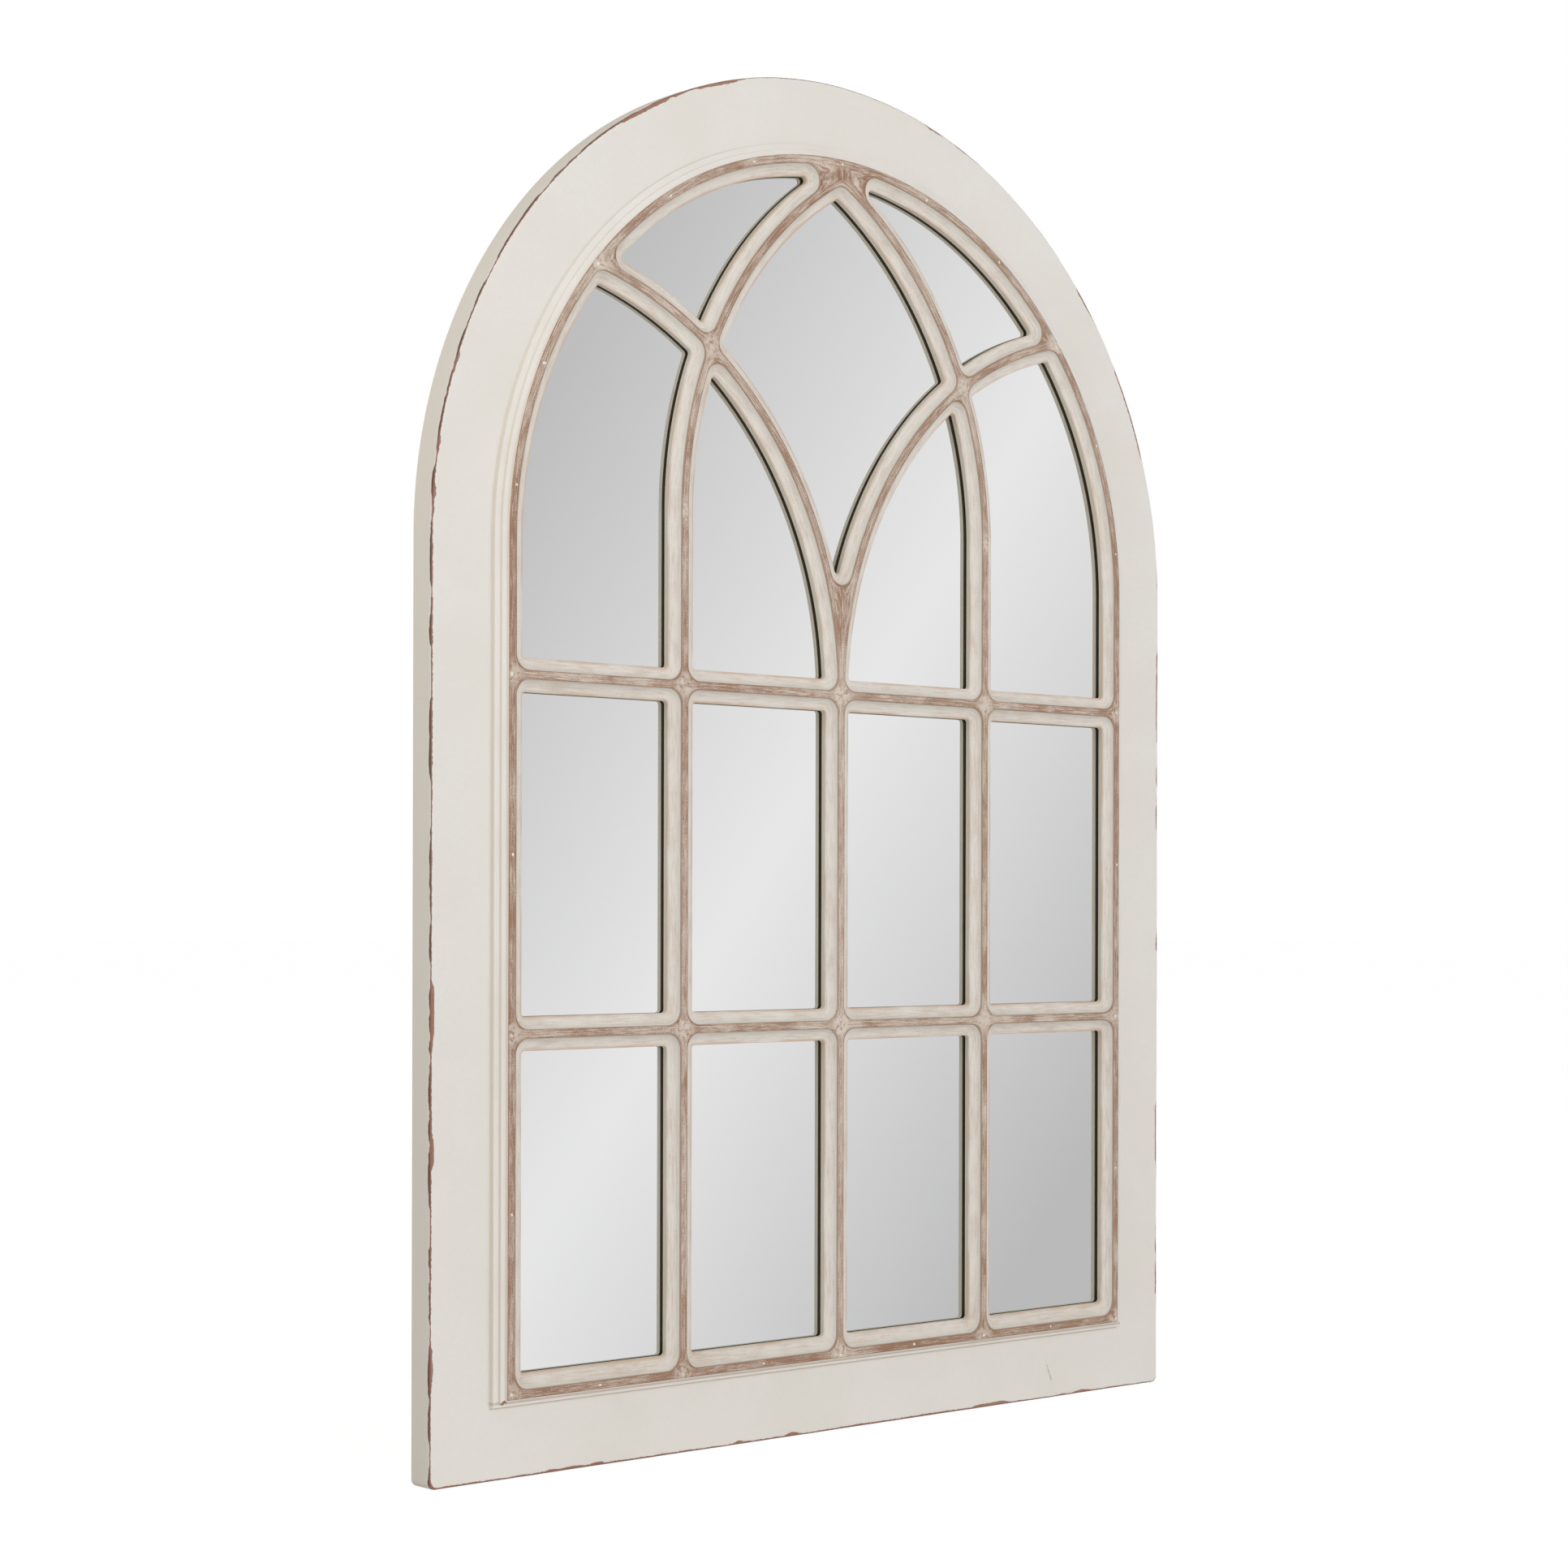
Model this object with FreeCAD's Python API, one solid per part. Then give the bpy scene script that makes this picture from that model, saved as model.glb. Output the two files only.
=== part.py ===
import FreeCAD, Part
import math
import os

# Arched window mirror: painted frame boards, a routed tracery panel laid on their face,
# one sheet of mirror glass behind the panel, a backing board and two D-ring hangers.
# Frame: +X right, +Y to the wall, +Z up. The origin lies on the wall plane,
# half way between the two hanger pins. Lengths are millimetres.

os.makedirs("parts", exist_ok=True)
Vector = FreeCAD.Vector

# Pane layout, measured between the crest lines of the bars
bay_pitch = 148.2
row_pitch = 239.5
head_rise = 90.0
side_bar_rise = 122.0
crown_drop = 11.4
fork_radius = 290.0

# Section of the tracery panel
panel_thickness = 9.0
crest_width = 6.2
flank_width = 8.4
bottom_flank_extra = 1.7
flank_depth = 5.3
quirk_width = 0.3
quirk_depth = 1.0
cove_hollow = 1.2
cove_steps = 3
pane_corner_radius = 2.5
low_step_width = 4.4
low_step_height = 3.9
high_step_width = 3.95
high_step_height = 2.4
bottom_low_step_width = 2.9
bottom_high_step_width = 2.0

# Frame boards
face_width = 47.75
bottom_face = 49.0
board_thickness = 22.0
corner_radius = 5.0
arris_radius = 2.0

# Glass, its rebate and the tape that beds it
glass_thickness = 3.0
glass_overlap = 6.5
glass_clearance = 0.8
ledge_width = 12.0
tape_width = 8.0
tape_thickness = 0.8

# Backing board and its screws
backing_thickness = 3.0
backing_lap = 20.0
backing_clearance = 0.5
backing_screw_edge = 9.5
backing_screw_radius = 1.5
backing_screw_length = 12.0
backing_head_radius = 3.0
backing_head_height = 1.8
head_screw_count = 5

# Dowels and brads
dowel_radius = 4.0
dowel_length = 40.0
dowel_clearance = 0.1
dowel_end_room = 0.5
stile_dowel_spacing = 26.0
rail_dowel_spacing = 24.0
rail_dowel_height = 18.0
brad_radius = 0.6
brad_length = 20.0
brad_head_radius = 1.0
brad_head_height = 0.8
brad_set_depth = 0.3
head_brad_count = 11
head_brad_start_deg = 7.0

# Hangers
hanger_drop = 35.0
strap_width = 15.0
strap_length = 44.0
strap_thickness = 1.2
strap_seat_gap = 0.05
strap_screw_near = 12.0
strap_screw_far = 34.0
hanger_screw_radius = 1.75
hanger_screw_length = 14.0
hanger_head_radius = 3.5
hanger_head_height = 2.0
ring_wire_radius = 1.4
ring_fit = 0.08
ring_side_play = 0.7
ring_bend_radius = 3.0
ring_leg_length = 8.0
ring_rest_tilt_deg = 3.0

# Bumpers
bumper_radius = 7.0
bumper_top_radius = 6.0
bumper_thickness = 6.0
bumper_rim_radius = 1.0
bumper_low_height = 28.0
bumper_head_deg = 50.0

# Fit of a screw in its pilot hole and in a clearance hole, and the run past a face of every cut
pilot_clearance = 0.05
hole_clearance = 0.25
overrun = 2.0

# Planes from the wall to the front
back_y = -bumper_thickness
face_y = back_y - board_thickness
front_y = face_y - panel_thickness

# The border's crest line, heights over the bottom edge and derived half widths
edge_width = low_step_width + high_step_width
bottom_edge_width = bottom_low_step_width + bottom_high_step_width
crest_half = 2 * bay_pitch
crest_base = bottom_face + bottom_edge_width + crest_width / 2
upper_rail_height = crest_base + 2 * row_pitch
spring_height = upper_rail_height + head_rise
side_bar_height = upper_rail_height + side_bar_rise
crown_height = spring_height + crest_half - crown_drop
hanger_height = spring_height - hanger_drop
frame_half = crest_half + crest_width / 2 + edge_width + face_width
bar_half = crest_width / 2 + flank_width

# Offsets of the inner outlines, inwards from the border's crest line
glass_offset = bar_half - glass_overlap
glass_rebate_offset = glass_offset - glass_clearance
opening_offset = glass_rebate_offset + ledge_width
backing_rebate_offset = opening_offset - backing_lap - backing_clearance
backing_offset = opening_offset - backing_lap
backing_screw_offset = backing_offset + backing_screw_edge
glass_rebate_depth = glass_thickness + tape_thickness
opening_half = crest_half - opening_offset
rail_height = crest_base + opening_offset
rear_mid_half = (crest_half - backing_rebate_offset + frame_half) / 2
board_mid_y = (face_y + back_y) / 2

# The dowels of the stiles and the crown stand clear of the brads along the crest line
dowel_line_half = (frame_half + crest_half) / 2

# The head's backing screws stand at equal angles, with half a step to the spring line at each end
screw_start_deg = 90 / head_screw_count

# Rolled loop of the strap and the axis of the ring's bar in it
loop_radius = ring_wire_radius + ring_fit + strap_thickness
pin_y = back_y + strap_seat_gap + loop_radius


def up(height):
    """Z of a height over the bottom edge of the frame."""
    return height - hanger_height


def on_head(radius, degrees, y):
    """Point on the round head, at an angle from the right-hand spring point."""
    angle = math.radians(degrees)
    return Vector(radius * math.cos(angle), y, up(spring_height) + radius * math.sin(angle))


def line(start, end):
    return Part.LineSegment(start, end).toShape()


def arc(start, middle, end):
    return Part.Arc(start, middle, end).toShape()


def border_wire(offset, y, bottom_offset=None):
    """Arched outline, inwards from the border's crest line by the offset, or at its bottom by another."""
    half = crest_half - offset
    low = up(crest_base + (offset if bottom_offset is None else bottom_offset))
    low_left = Vector(-half, y, low)
    low_right = Vector(half, y, low)
    spring_right = on_head(half, 0, y)
    spring_left = on_head(half, 180, y)
    head = arc(spring_right, on_head(half, 90, y), spring_left)
    return Part.Wire([line(low_left, low_right), line(low_right, spring_right),
                      head, line(spring_left, low_left)])


def border_prism(offset, y_start, y_end, bottom_offset=None):
    return Part.Face(border_wire(offset, y_start, bottom_offset)).extrude(Vector(0, y_end - y_start, 0))


def frame_wire(y):
    """Outer outline of the frame, with its two bottom corners rounded."""
    side = frame_half - corner_radius
    rise = up(corner_radius)
    bulge = corner_radius * math.sqrt(0.5)
    left_centre = Vector(-side, y, rise)
    right_centre = Vector(side, y, rise)
    left_side = left_centre + Vector(-corner_radius, 0, 0)
    left_foot = left_centre + Vector(0, 0, -corner_radius)
    right_foot = right_centre + Vector(0, 0, -corner_radius)
    right_side = right_centre + Vector(corner_radius, 0, 0)
    spring_right = on_head(frame_half, 0, y)
    spring_left = on_head(frame_half, 180, y)
    return Part.Wire([
        arc(left_side, left_centre + Vector(-bulge, 0, -bulge), left_foot),
        line(left_foot, right_foot),
        arc(right_foot, right_centre + Vector(bulge, 0, -bulge), right_side),
        line(right_side, spring_right),
        arc(spring_right, on_head(frame_half, 90, y), spring_left),
        line(spring_left, left_side)])


def block(x_low, x_high, z_low, z_high):
    """Block through the whole depth of the boards, used to part the frame into boards."""
    corner = Vector(x_low, face_y - overrun, z_low)
    depth = board_thickness + 2 * overrun
    return Part.makeBox(x_high - x_low, depth, z_high - z_low, corner)


def rod(radius, start, direction, length):
    return Part.makeCylinder(radius, length, start, direction)


# Places of the fasteners

def border_places(offset, y, head_count, head_start_deg, bottom_half_bays, side_half_rows):
    """Points along an arched outline: bottom and sides at half pitches, head at equal angles."""
    half = crest_half - offset
    low = up(crest_base + offset)
    places = [Vector(k * bay_pitch / 2, y, low) for k in bottom_half_bays]
    for side in (-1, 1):
        places += [Vector(side * half, y, up(crest_base + k * row_pitch / 2)) for k in side_half_rows]
    sweep = 180 - 2 * head_start_deg
    for k in range(head_count):
        places.append(on_head(half, head_start_deg + sweep * k / (head_count - 1), y))
    return places


def corner_brads(y):
    return [Vector(side * crest_half, y, up(crest_base)) for side in (-1, 1)]


def dowel_places():
    """Middle point and direction of every dowel, two in each of the five joints."""
    places = []
    for side in (-1, 1):
        for k in (0, 1):
            height = rail_dowel_height + k * rail_dowel_spacing
            places.append((Vector(side * opening_half, board_mid_y, up(height)), Vector(1, 0, 0)))
        for k in (0, 1):
            out = dowel_line_half + (k - 0.5) * stile_dowel_spacing
            places.append((Vector(side * out, board_mid_y, up(spring_height)), Vector(0, 0, 1)))
    for k in (0, 1):
        out = dowel_line_half + (k - 0.5) * stile_dowel_spacing
        places.append((Vector(0, board_mid_y, up(spring_height + out)), Vector(1, 0, 0)))
    return places


def dowels(radius, length):
    return [rod(radius, middle - direction * (length / 2), direction, length)
            for middle, direction in dowel_places()]


def screw(head_radius, head_height, shank_radius, shank_length):
    """Pan-head screw about Y, head on +Y, with its seat at the origin."""
    crown = head_height / 2
    outline = [(0, -shank_length), (shank_radius / 2, -shank_length),
               (shank_radius, shank_radius - shank_length), (shank_radius, 0),
               (head_radius, 0), (head_radius, head_height - crown),
               (head_radius - crown, head_height), (0, head_height), (0, -shank_length)]
    profile = Part.makePolygon([Vector(across, along, 0) for across, along in outline])
    return Part.Face(profile).revolve(Vector(0, 0, 0), Vector(0, 1, 0), 360)


def at(shape, place):
    return shape.translated(place)


# Frame boards

def frame_ring():
    """The whole frame: outer outline with a rounded front arris, opening and both rebates."""
    body = Part.Face(frame_wire(face_y)).extrude(Vector(0, board_thickness, 0))
    front_edges = [edge for edge in body.Edges if edge.BoundBox.YMax < face_y + arris_radius]
    body = body.makeFillet(arris_radius, front_edges)
    opening = border_prism(opening_offset, face_y - overrun, back_y + overrun)
    glass_rebate = border_prism(glass_rebate_offset, face_y - overrun, face_y + glass_rebate_depth)
    rear_rebate = border_prism(backing_rebate_offset, back_y - backing_thickness, back_y + overrun)
    return body.cut([opening, glass_rebate, rear_rebate])


def board_blocks():
    far = frame_half + overrun
    top = up(spring_height + far)
    spring = up(spring_height)
    low = up(0) - overrun
    return {
        "frame_stile_left": block(-far, -opening_half, low, spring),
        "frame_stile_right": block(opening_half, far, low, spring),
        "frame_bottom_rail": block(-opening_half, opening_half, low, up(rail_height) + overrun),
        "frame_arch_left": block(-far, 0, spring, top),
        "frame_arch_right": block(0, far, spring, top)}


def backing_screw_places():
    half_bays = (-2, 0, 2)
    half_rows = (2, 4)
    return border_places(backing_screw_offset, back_y, head_screw_count, screw_start_deg,
                         half_bays, half_rows)


def strap_screw_places(side):
    return [Vector(side * rear_mid_half, back_y, -down) for down in (strap_screw_near, strap_screw_far)]


def pilot_holes():
    holes = dowels(dowel_radius + dowel_clearance, dowel_length + 2 * dowel_end_room)
    toward_front = Vector(0, -1, 0)
    for place in backing_screw_places():
        length = backing_screw_length + pilot_clearance
        holes.append(rod(backing_screw_radius + pilot_clearance, place, toward_front, length))
    for side in (-1, 1):
        for place in strap_screw_places(side):
            length = hanger_screw_length + pilot_clearance
            holes.append(rod(hanger_screw_radius + pilot_clearance, place, toward_front, length))
    return holes


def frame_boards():
    ring = frame_ring()
    holes = pilot_holes()
    boards = {}
    for name, part_block in board_blocks().items():
        board = ring.common(part_block)
        boards[name] = board.cut(holes)
    return boards


# Tracery panel

def strip(x_low, x_high, z_low, z_high):
    corners = [Vector(x_low, front_y, z_low), Vector(x_high, front_y, z_low),
               Vector(x_high, front_y, z_high), Vector(x_low, front_y, z_high)]
    return Part.Face(Part.makePolygon(corners + corners[:1]))


def curved_strip(centre, radius, half, start_deg, end_deg):
    """Flat curved strip of a half width about an arc."""
    def spot(reach, degrees):
        angle = math.radians(degrees)
        return centre + Vector(reach * math.cos(angle), 0, reach * math.sin(angle))
    middle_deg = (start_deg + end_deg) / 2
    inner = radius - half
    outer = radius + half
    return Part.Face(Part.Wire([
        arc(spot(inner, start_deg), spot(inner, middle_deg), spot(inner, end_deg)),
        line(spot(inner, end_deg), spot(outer, end_deg)),
        arc(spot(outer, end_deg), spot(outer, middle_deg), spot(outer, start_deg)),
        line(spot(outer, start_deg), spot(inner, start_deg))]))


def bar_strips(half):
    """Every bar of the tracery as a flat strip of a half width in the panel's front plane.

    A side bar turns until it meets its twin under the crown, and a fork bar until it meets the border.
    """
    low = up(crest_base)
    rail = up(upper_rail_height)
    side_spring = up(side_bar_height)
    rise = crown_height - side_bar_height
    side_radius = (bay_pitch ** 2 + rise ** 2) / (2 * bay_pitch)
    side_sweep = math.degrees(math.acos(1 - bay_pitch / side_radius) + 2 * crest_width / side_radius)
    reach = math.hypot(fork_radius, head_rise)
    fork_turn = math.acos((fork_radius ** 2 + reach ** 2 - crest_half ** 2) / (2 * fork_radius * reach))
    fork_sweep = math.degrees(math.atan2(head_rise, fork_radius) + fork_turn + crest_width / fork_radius)
    strips = [strip(-half, half, low, rail)]
    for k in (1, 2):
        height = up(crest_base + k * row_pitch)
        strips.append(strip(-crest_half, crest_half, height - half, height + half))
    for side in (-1, 1):
        strips.append(strip(side * bay_pitch - half, side * bay_pitch + half, low, side_spring))
        side_centre = Vector(side * (bay_pitch - side_radius), front_y, side_spring)
        fork_centre = Vector(side * fork_radius, front_y, rail)
        side_start = 90 - side * 90
        fork_start = 90 + side * 90
        side_end = side_start + side * side_sweep
        fork_end = fork_start - side * fork_sweep
        strips.append(curved_strip(side_centre, side_radius, half, side_start, side_end))
        strips.append(curved_strip(fork_centre, fork_radius, half, fork_start, fork_end))
    return strips


def pane_wires(lift):
    """Crest outline of every pane over the raised bottom of the border, its corners rounded.

    The rounding is an offset inwards and back. The panes come in the order of their middles.
    """
    half = crest_width / 2
    rounding = flank_width + pane_corner_radius
    field = Part.Face(border_wire(half, front_y, half + lift)).cut(bar_strips(half))
    panes = []
    for face in sorted(field.Faces, key=lambda pane: (round(pane.CenterOfMass.x), pane.CenterOfMass.z)):
        if face.Area > (2 * rounding) ** 2:
            inner = face.OuterWire.makeOffset2D(-rounding)
            panes.append(inner.makeOffset2D(rounding))
    return panes


def flank_levels():
    """Inset and depth of each line of the routed flank: quirk, hollow cove, then the wall."""
    run = flank_width - quirk_width
    drop = flank_depth - quirk_depth
    chord = math.hypot(run, drop)
    levels = [(0, -overrun), (0, 0)]
    for k in range(cove_steps + 1):
        share = k / cove_steps
        hollow = 4 * share * (1 - share) * cove_hollow
        inset = quirk_width + share * run - hollow * drop / chord
        depth = quirk_depth + share * drop + hollow * run / chord
        levels.append((inset, depth))
    levels.append((flank_width, panel_thickness + overrun))
    return levels


def pane_cutters():
    """Solids that the router takes out of the panes, each a ruled stack of offset outlines.

    The flank over the bottom of the border is wider than the others.
    """
    layers = []
    for inset, depth in flank_levels():
        share = max(0, inset - quirk_width) / (flank_width - quirk_width)
        wires = pane_wires(share * bottom_flank_extra)
        if inset > 0:
            wires = [wire.makeOffset2D(-inset) for wire in wires]
        layers.append([wire.translated(Vector(0, depth, 0)) for wire in wires])
    return [Part.makeLoft(list(stack), True, True) for stack in zip(*layers)]


def tracery_panel():
    border = crest_width / 2
    low_top = face_y - low_step_height
    high_top = low_top - high_step_height
    base = border_prism(-border - edge_width, face_y, low_top, -border - bottom_edge_width)
    middle = border_prism(-border - high_step_width, low_top, high_top, -border - bottom_high_step_width)
    crest = border_prism(-border, high_top, front_y)
    blank = base.fuse([middle, crest])
    return blank.cut(pane_cutters())


def panel_brads():
    """Brads through the border's crest into the boards, their heads set below the surface."""
    head_y = front_y + brad_set_depth
    places = border_places(0, head_y, head_brad_count, head_brad_start_deg, range(-3, 4), range(1, 5))
    inwards = Vector(0, 1, 0)
    brads = []
    for place in places + corner_brads(head_y):
        head = rod(brad_head_radius, place, inwards, brad_head_height)
        brads.append(head.fuse(rod(brad_radius, place, inwards, brad_length)))
    return Part.makeCompound(brads)


# Glass, tape and backing

def glazing_tape():
    """Flat strip on the glass ledge, parted into left, right, bottom and arch."""
    margin = (ledge_width - tape_width) / 2
    outer = glass_rebate_offset + margin
    inner = outer + tape_width
    seat = face_y + glass_rebate_depth
    loop = border_prism(outer, seat, seat - tape_thickness).cut(
        border_prism(inner, seat + overrun, seat - tape_thickness - overrun))
    far = frame_half
    spring = up(spring_height)
    side_low = up(crest_base + inner)
    return {
        "glazing_tape_left": loop.common(block(-far, 0, side_low, spring)),
        "glazing_tape_right": loop.common(block(0, far, side_low, spring)),
        "glazing_tape_bottom": loop.common(block(-far, far, up(0), side_low)),
        "glazing_tape_arch": loop.common(block(-far, far, spring, spring + far))}


def backing_board():
    sheet = border_prism(backing_offset, back_y - backing_thickness, back_y)
    radius = backing_screw_radius + hole_clearance
    start = Vector(0, overrun, 0)
    length = backing_thickness + 2 * overrun
    holes = [rod(radius, place + start, Vector(0, -1, 0), length) for place in backing_screw_places()]
    return sheet.cut(holes)


def backing_screws():
    form = screw(backing_head_radius, backing_head_height, backing_screw_radius, backing_screw_length)
    return Part.makeCompound([at(form, place) for place in backing_screw_places()])


# Hangers

def hanger_strap(side):
    """Steel tab with a round foot, rolled into a loop round the ring's straight bar."""
    half = strap_width / 2
    foot = Vector(0, 0, half - strap_length)
    outline = Part.Wire([
        line(Vector(half, 0, 0), Vector(-half, 0, 0)),
        line(Vector(-half, 0, 0), foot + Vector(-half, 0, 0)),
        arc(foot + Vector(-half, 0, 0), foot + Vector(0, 0, -half), foot + Vector(half, 0, 0)),
        line(foot + Vector(half, 0, 0), Vector(half, 0, 0))])
    place = Vector(side * rear_mid_half, back_y, 0)
    tab = at(Part.Face(outline).extrude(Vector(0, strap_thickness, 0)), place)
    pin_start = Vector(side * rear_mid_half - half, pin_y, 0)
    roll = rod(loop_radius, pin_start, Vector(1, 0, 0), strap_width)
    bore_start = pin_start - Vector(overrun, 0, 0)
    bore = rod(ring_wire_radius + ring_fit, bore_start, Vector(1, 0, 0), strap_width + 2 * overrun)
    radius = hanger_screw_radius + hole_clearance
    holes = [rod(radius, spot - Vector(0, overrun, 0), Vector(0, 1, 0), strap_thickness + 2 * overrun)
             for spot in strap_screw_places(side)]
    return tab.fuse(roll).cut([bore] + holes)


def hanger_screws(side):
    form = screw(hanger_head_radius, hanger_head_height, hanger_screw_radius,
                 hanger_screw_length + strap_thickness)
    lift = Vector(0, strap_thickness, 0)
    return Part.makeCompound([at(form, place + lift) for place in strap_screw_places(side)])


def d_ring(side):
    """Bent wire: straight bar in the loop, two bends, two legs and a round bow that hangs down."""
    half = strap_width / 2 + ring_side_play
    reach = half + ring_bend_radius
    leg_foot = -ring_bend_radius - ring_leg_length
    section = Part.Face(Part.Wire(Part.makeCircle(ring_wire_radius, Vector(0, 0, 0), Vector(1, 0, 0))))
    bar = at(section, Vector(-half, 0, 0)).extrude(Vector(2 * half, 0, 0))
    pieces = [bar]
    for end in (-1, 1):
        pivot = Vector(end * half, 0, -ring_bend_radius)
        bend = at(section, Vector(end * half, 0, 0)).revolve(pivot, Vector(0, end, 0), 90)
        leg = rod(ring_wire_radius, Vector(end * reach, 0, leg_foot), Vector(0, 0, 1), ring_leg_length)
        pieces += [bend, leg]
    bow_section = Part.Face(Part.Wire(
        Part.makeCircle(ring_wire_radius, Vector(reach, 0, leg_foot), Vector(0, 0, 1))))
    pieces.append(bow_section.revolve(Vector(0, 0, leg_foot), Vector(0, 1, 0), 180))
    ring = pieces[0].fuse(pieces[1:]).removeSplitter()
    ring.rotate(Vector(0, 0, 0), Vector(1, 0, 0), ring_rest_tilt_deg)
    return at(ring, Vector(side * rear_mid_half, pin_y, 0))


# Bumpers

def bumper(place):
    """Round rubber foot, tapering to a flat rear face with a rounded rim."""
    cone = Part.makeCone(bumper_radius, bumper_top_radius, bumper_thickness, place, Vector(0, 1, 0))
    rim = [edge for edge in cone.Edges if edge.BoundBox.YMin > place.y + bumper_thickness / 2]
    return cone.makeFillet(bumper_rim_radius, rim)


def bumper_places():
    places = {}
    for name, side in (("left", -1), ("right", 1)):
        head = on_head(rear_mid_half, bumper_head_deg, back_y)
        places["bumper_low_" + name] = Vector(side * rear_mid_half, back_y, up(bumper_low_height))
        places["bumper_head_" + name] = Vector(side * head.x, back_y, head.z)
    return places


def all_pieces():
    pieces = frame_boards()
    pieces["frame_dowels"] = Part.makeCompound(dowels(dowel_radius, dowel_length))
    pieces["tracery_panel"] = tracery_panel()
    pieces["panel_brads"] = panel_brads()
    pieces["mirror_glass"] = border_prism(glass_offset, face_y, face_y + glass_thickness)
    pieces.update(glazing_tape())
    pieces["backing_board"] = backing_board()
    pieces["backing_screws"] = backing_screws()
    for name, side in (("left", -1), ("right", 1)):
        pieces["hanger_strap_" + name] = hanger_strap(side)
        pieces["hanger_screws_" + name] = hanger_screws(side)
        pieces["d_ring_" + name] = d_ring(side)
    for name, place in bumper_places().items():
        pieces[name] = bumper(place)
    return pieces


for node, shape in all_pieces().items():
    shape.exportStep("parts/" + node + ".step")
    box = shape.BoundBox
    size = [round(length, 2) for length in (box.XLength, box.YLength, box.ZLength)]
    print(node, len(shape.Solids), shape.isValid(), size)
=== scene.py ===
"""Looks of an arched window mirror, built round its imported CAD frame.

Lengths are metres, +Z is up, and the glass faces -Y.
"""

import math
from functools import partial
from types import SimpleNamespace

import bmesh
import bpy
import numpy as np
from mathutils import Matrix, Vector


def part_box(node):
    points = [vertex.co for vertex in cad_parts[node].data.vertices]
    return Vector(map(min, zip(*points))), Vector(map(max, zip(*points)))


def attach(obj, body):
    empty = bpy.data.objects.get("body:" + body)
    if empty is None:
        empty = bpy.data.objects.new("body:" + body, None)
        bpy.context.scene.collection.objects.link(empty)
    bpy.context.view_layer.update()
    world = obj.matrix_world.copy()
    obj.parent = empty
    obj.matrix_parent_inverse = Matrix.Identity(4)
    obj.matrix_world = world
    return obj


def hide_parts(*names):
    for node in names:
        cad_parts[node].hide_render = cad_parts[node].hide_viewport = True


bl_info = {
    "name": "Arched window mirror",
    "version": (1, 0, 0),
    "blender": (4, 5, 0),
    "location": "View3D > Sidebar > Window mirror",
    "description": "Distressed arched mirror with a routed tracery panel, built on its CAD frame",
    "category": "Object",
}

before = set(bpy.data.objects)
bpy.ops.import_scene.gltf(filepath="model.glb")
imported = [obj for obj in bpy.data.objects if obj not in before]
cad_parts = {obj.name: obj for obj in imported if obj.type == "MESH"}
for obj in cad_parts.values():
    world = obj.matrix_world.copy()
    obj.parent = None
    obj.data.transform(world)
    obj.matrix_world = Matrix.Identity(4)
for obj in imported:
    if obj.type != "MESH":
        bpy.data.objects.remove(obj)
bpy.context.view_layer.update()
MM = 0.001
PER_MM = 1000.0
TOUCH = 0.01 * MM
WELD = 0.002 * MM
SHARP_ANGLE = math.radians(32)
# What a node gets where its material asks for nothing else
USUAL_SETTINGS = {"MapRange": {"interpolation_type": "SMOOTHSTEP"}, "Mix": {"data_type": "RGBA"}}
BODY = "mirror"
BOARDS = ("frame_stile_left", "frame_bottom_rail", "frame_stile_right", "frame_arch_right", "frame_arch_left")


def linear(hex_value):
    """Linear colour with full alpha from an sRGB hex value."""
    shares = [int(hex_value[k:k + 2], 16) / 255 for k in (1, 3, 5)]
    return tuple(s / 12.92 if s <= 0.04045 else ((s + 0.055) / 1.055) ** 2.4 for s in shares) + (1.0,)


def metres(name, value, description):
    return bpy.props.FloatProperty(name=name, description=description, default=value, min=0.0,
                                   unit="LENGTH", precision=5)


def tint(name, hex_value, description):
    return bpy.props.FloatVectorProperty(name=name, description=description, default=linear(hex_value),
                                         size=4, min=0.0, max=1.0, subtype="COLOR")


class TracerySizes(bpy.types.PropertyGroup):
    """Bars and routed section of the tracery panel"""
    head_rise: metres("Head rise", 0.090, "Spring of the round head over the upper rail")
    side_bar_rise: metres("Side bar rise", 0.122, "Spring of the side bars over the upper rail")
    crown_drop: metres("Crown drop", 0.0114, "Meeting of the side bars under the border's crown")
    fork_radius: metres("Fork radius", 0.290, "Radius of the two bars that fork from the middle mullion")
    crest_width: metres("Crest width", 0.0062, "Flat top of a bar")
    flank_width: metres("Flank width", 0.0084, "Routed slope beside a crest")
    bottom_flank: metres("Bottom flank", 0.0017, "Further width of the slope over the bottom border")
    flank_depth: metres("Flank depth", 0.0053, "Drop of the routed slope")
    quirk_width: metres("Quirk width", 0.0003, "Width of the small step beside a crest")
    quirk_depth: metres("Quirk depth", 0.0010, "Depth of the small step beside a crest")
    cove_hollow: metres("Cove hollow", 0.0012, "Hollow of the routed slope under its chord")
    pane_corner: metres("Pane corner", 0.0025, "Radius of a pane's corner at the glass")
    high_step: metres("High step", 0.00395, "Width of the upper tread round the panel")
    high_step_drop: metres("High step drop", 0.0027, "Upper tread under the crest")
    low_step: metres("Low step", 0.0044, "Width of the lower tread round the panel")
    low_step_drop: metres("Low step drop", 0.0051, "Lower tread under the crest")
    bottom_high_step: metres("Bottom high step", 0.0020, "Width of the upper tread under the bottom border")
    bottom_low_step: metres("Bottom low step", 0.0029, "Width of the lower tread under the bottom border")
    filler_rise: metres("Filler rise", 0.00008, "Dabs of filler over the crests, which lie as far inside")
    soft_edge: metres("Soft edge", 0.0006, "Rounding of painted edges and of the paint in corners")
    sampling: metres("Sampling", 0.0028, "Spacing of the mesh along a bar")


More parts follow.
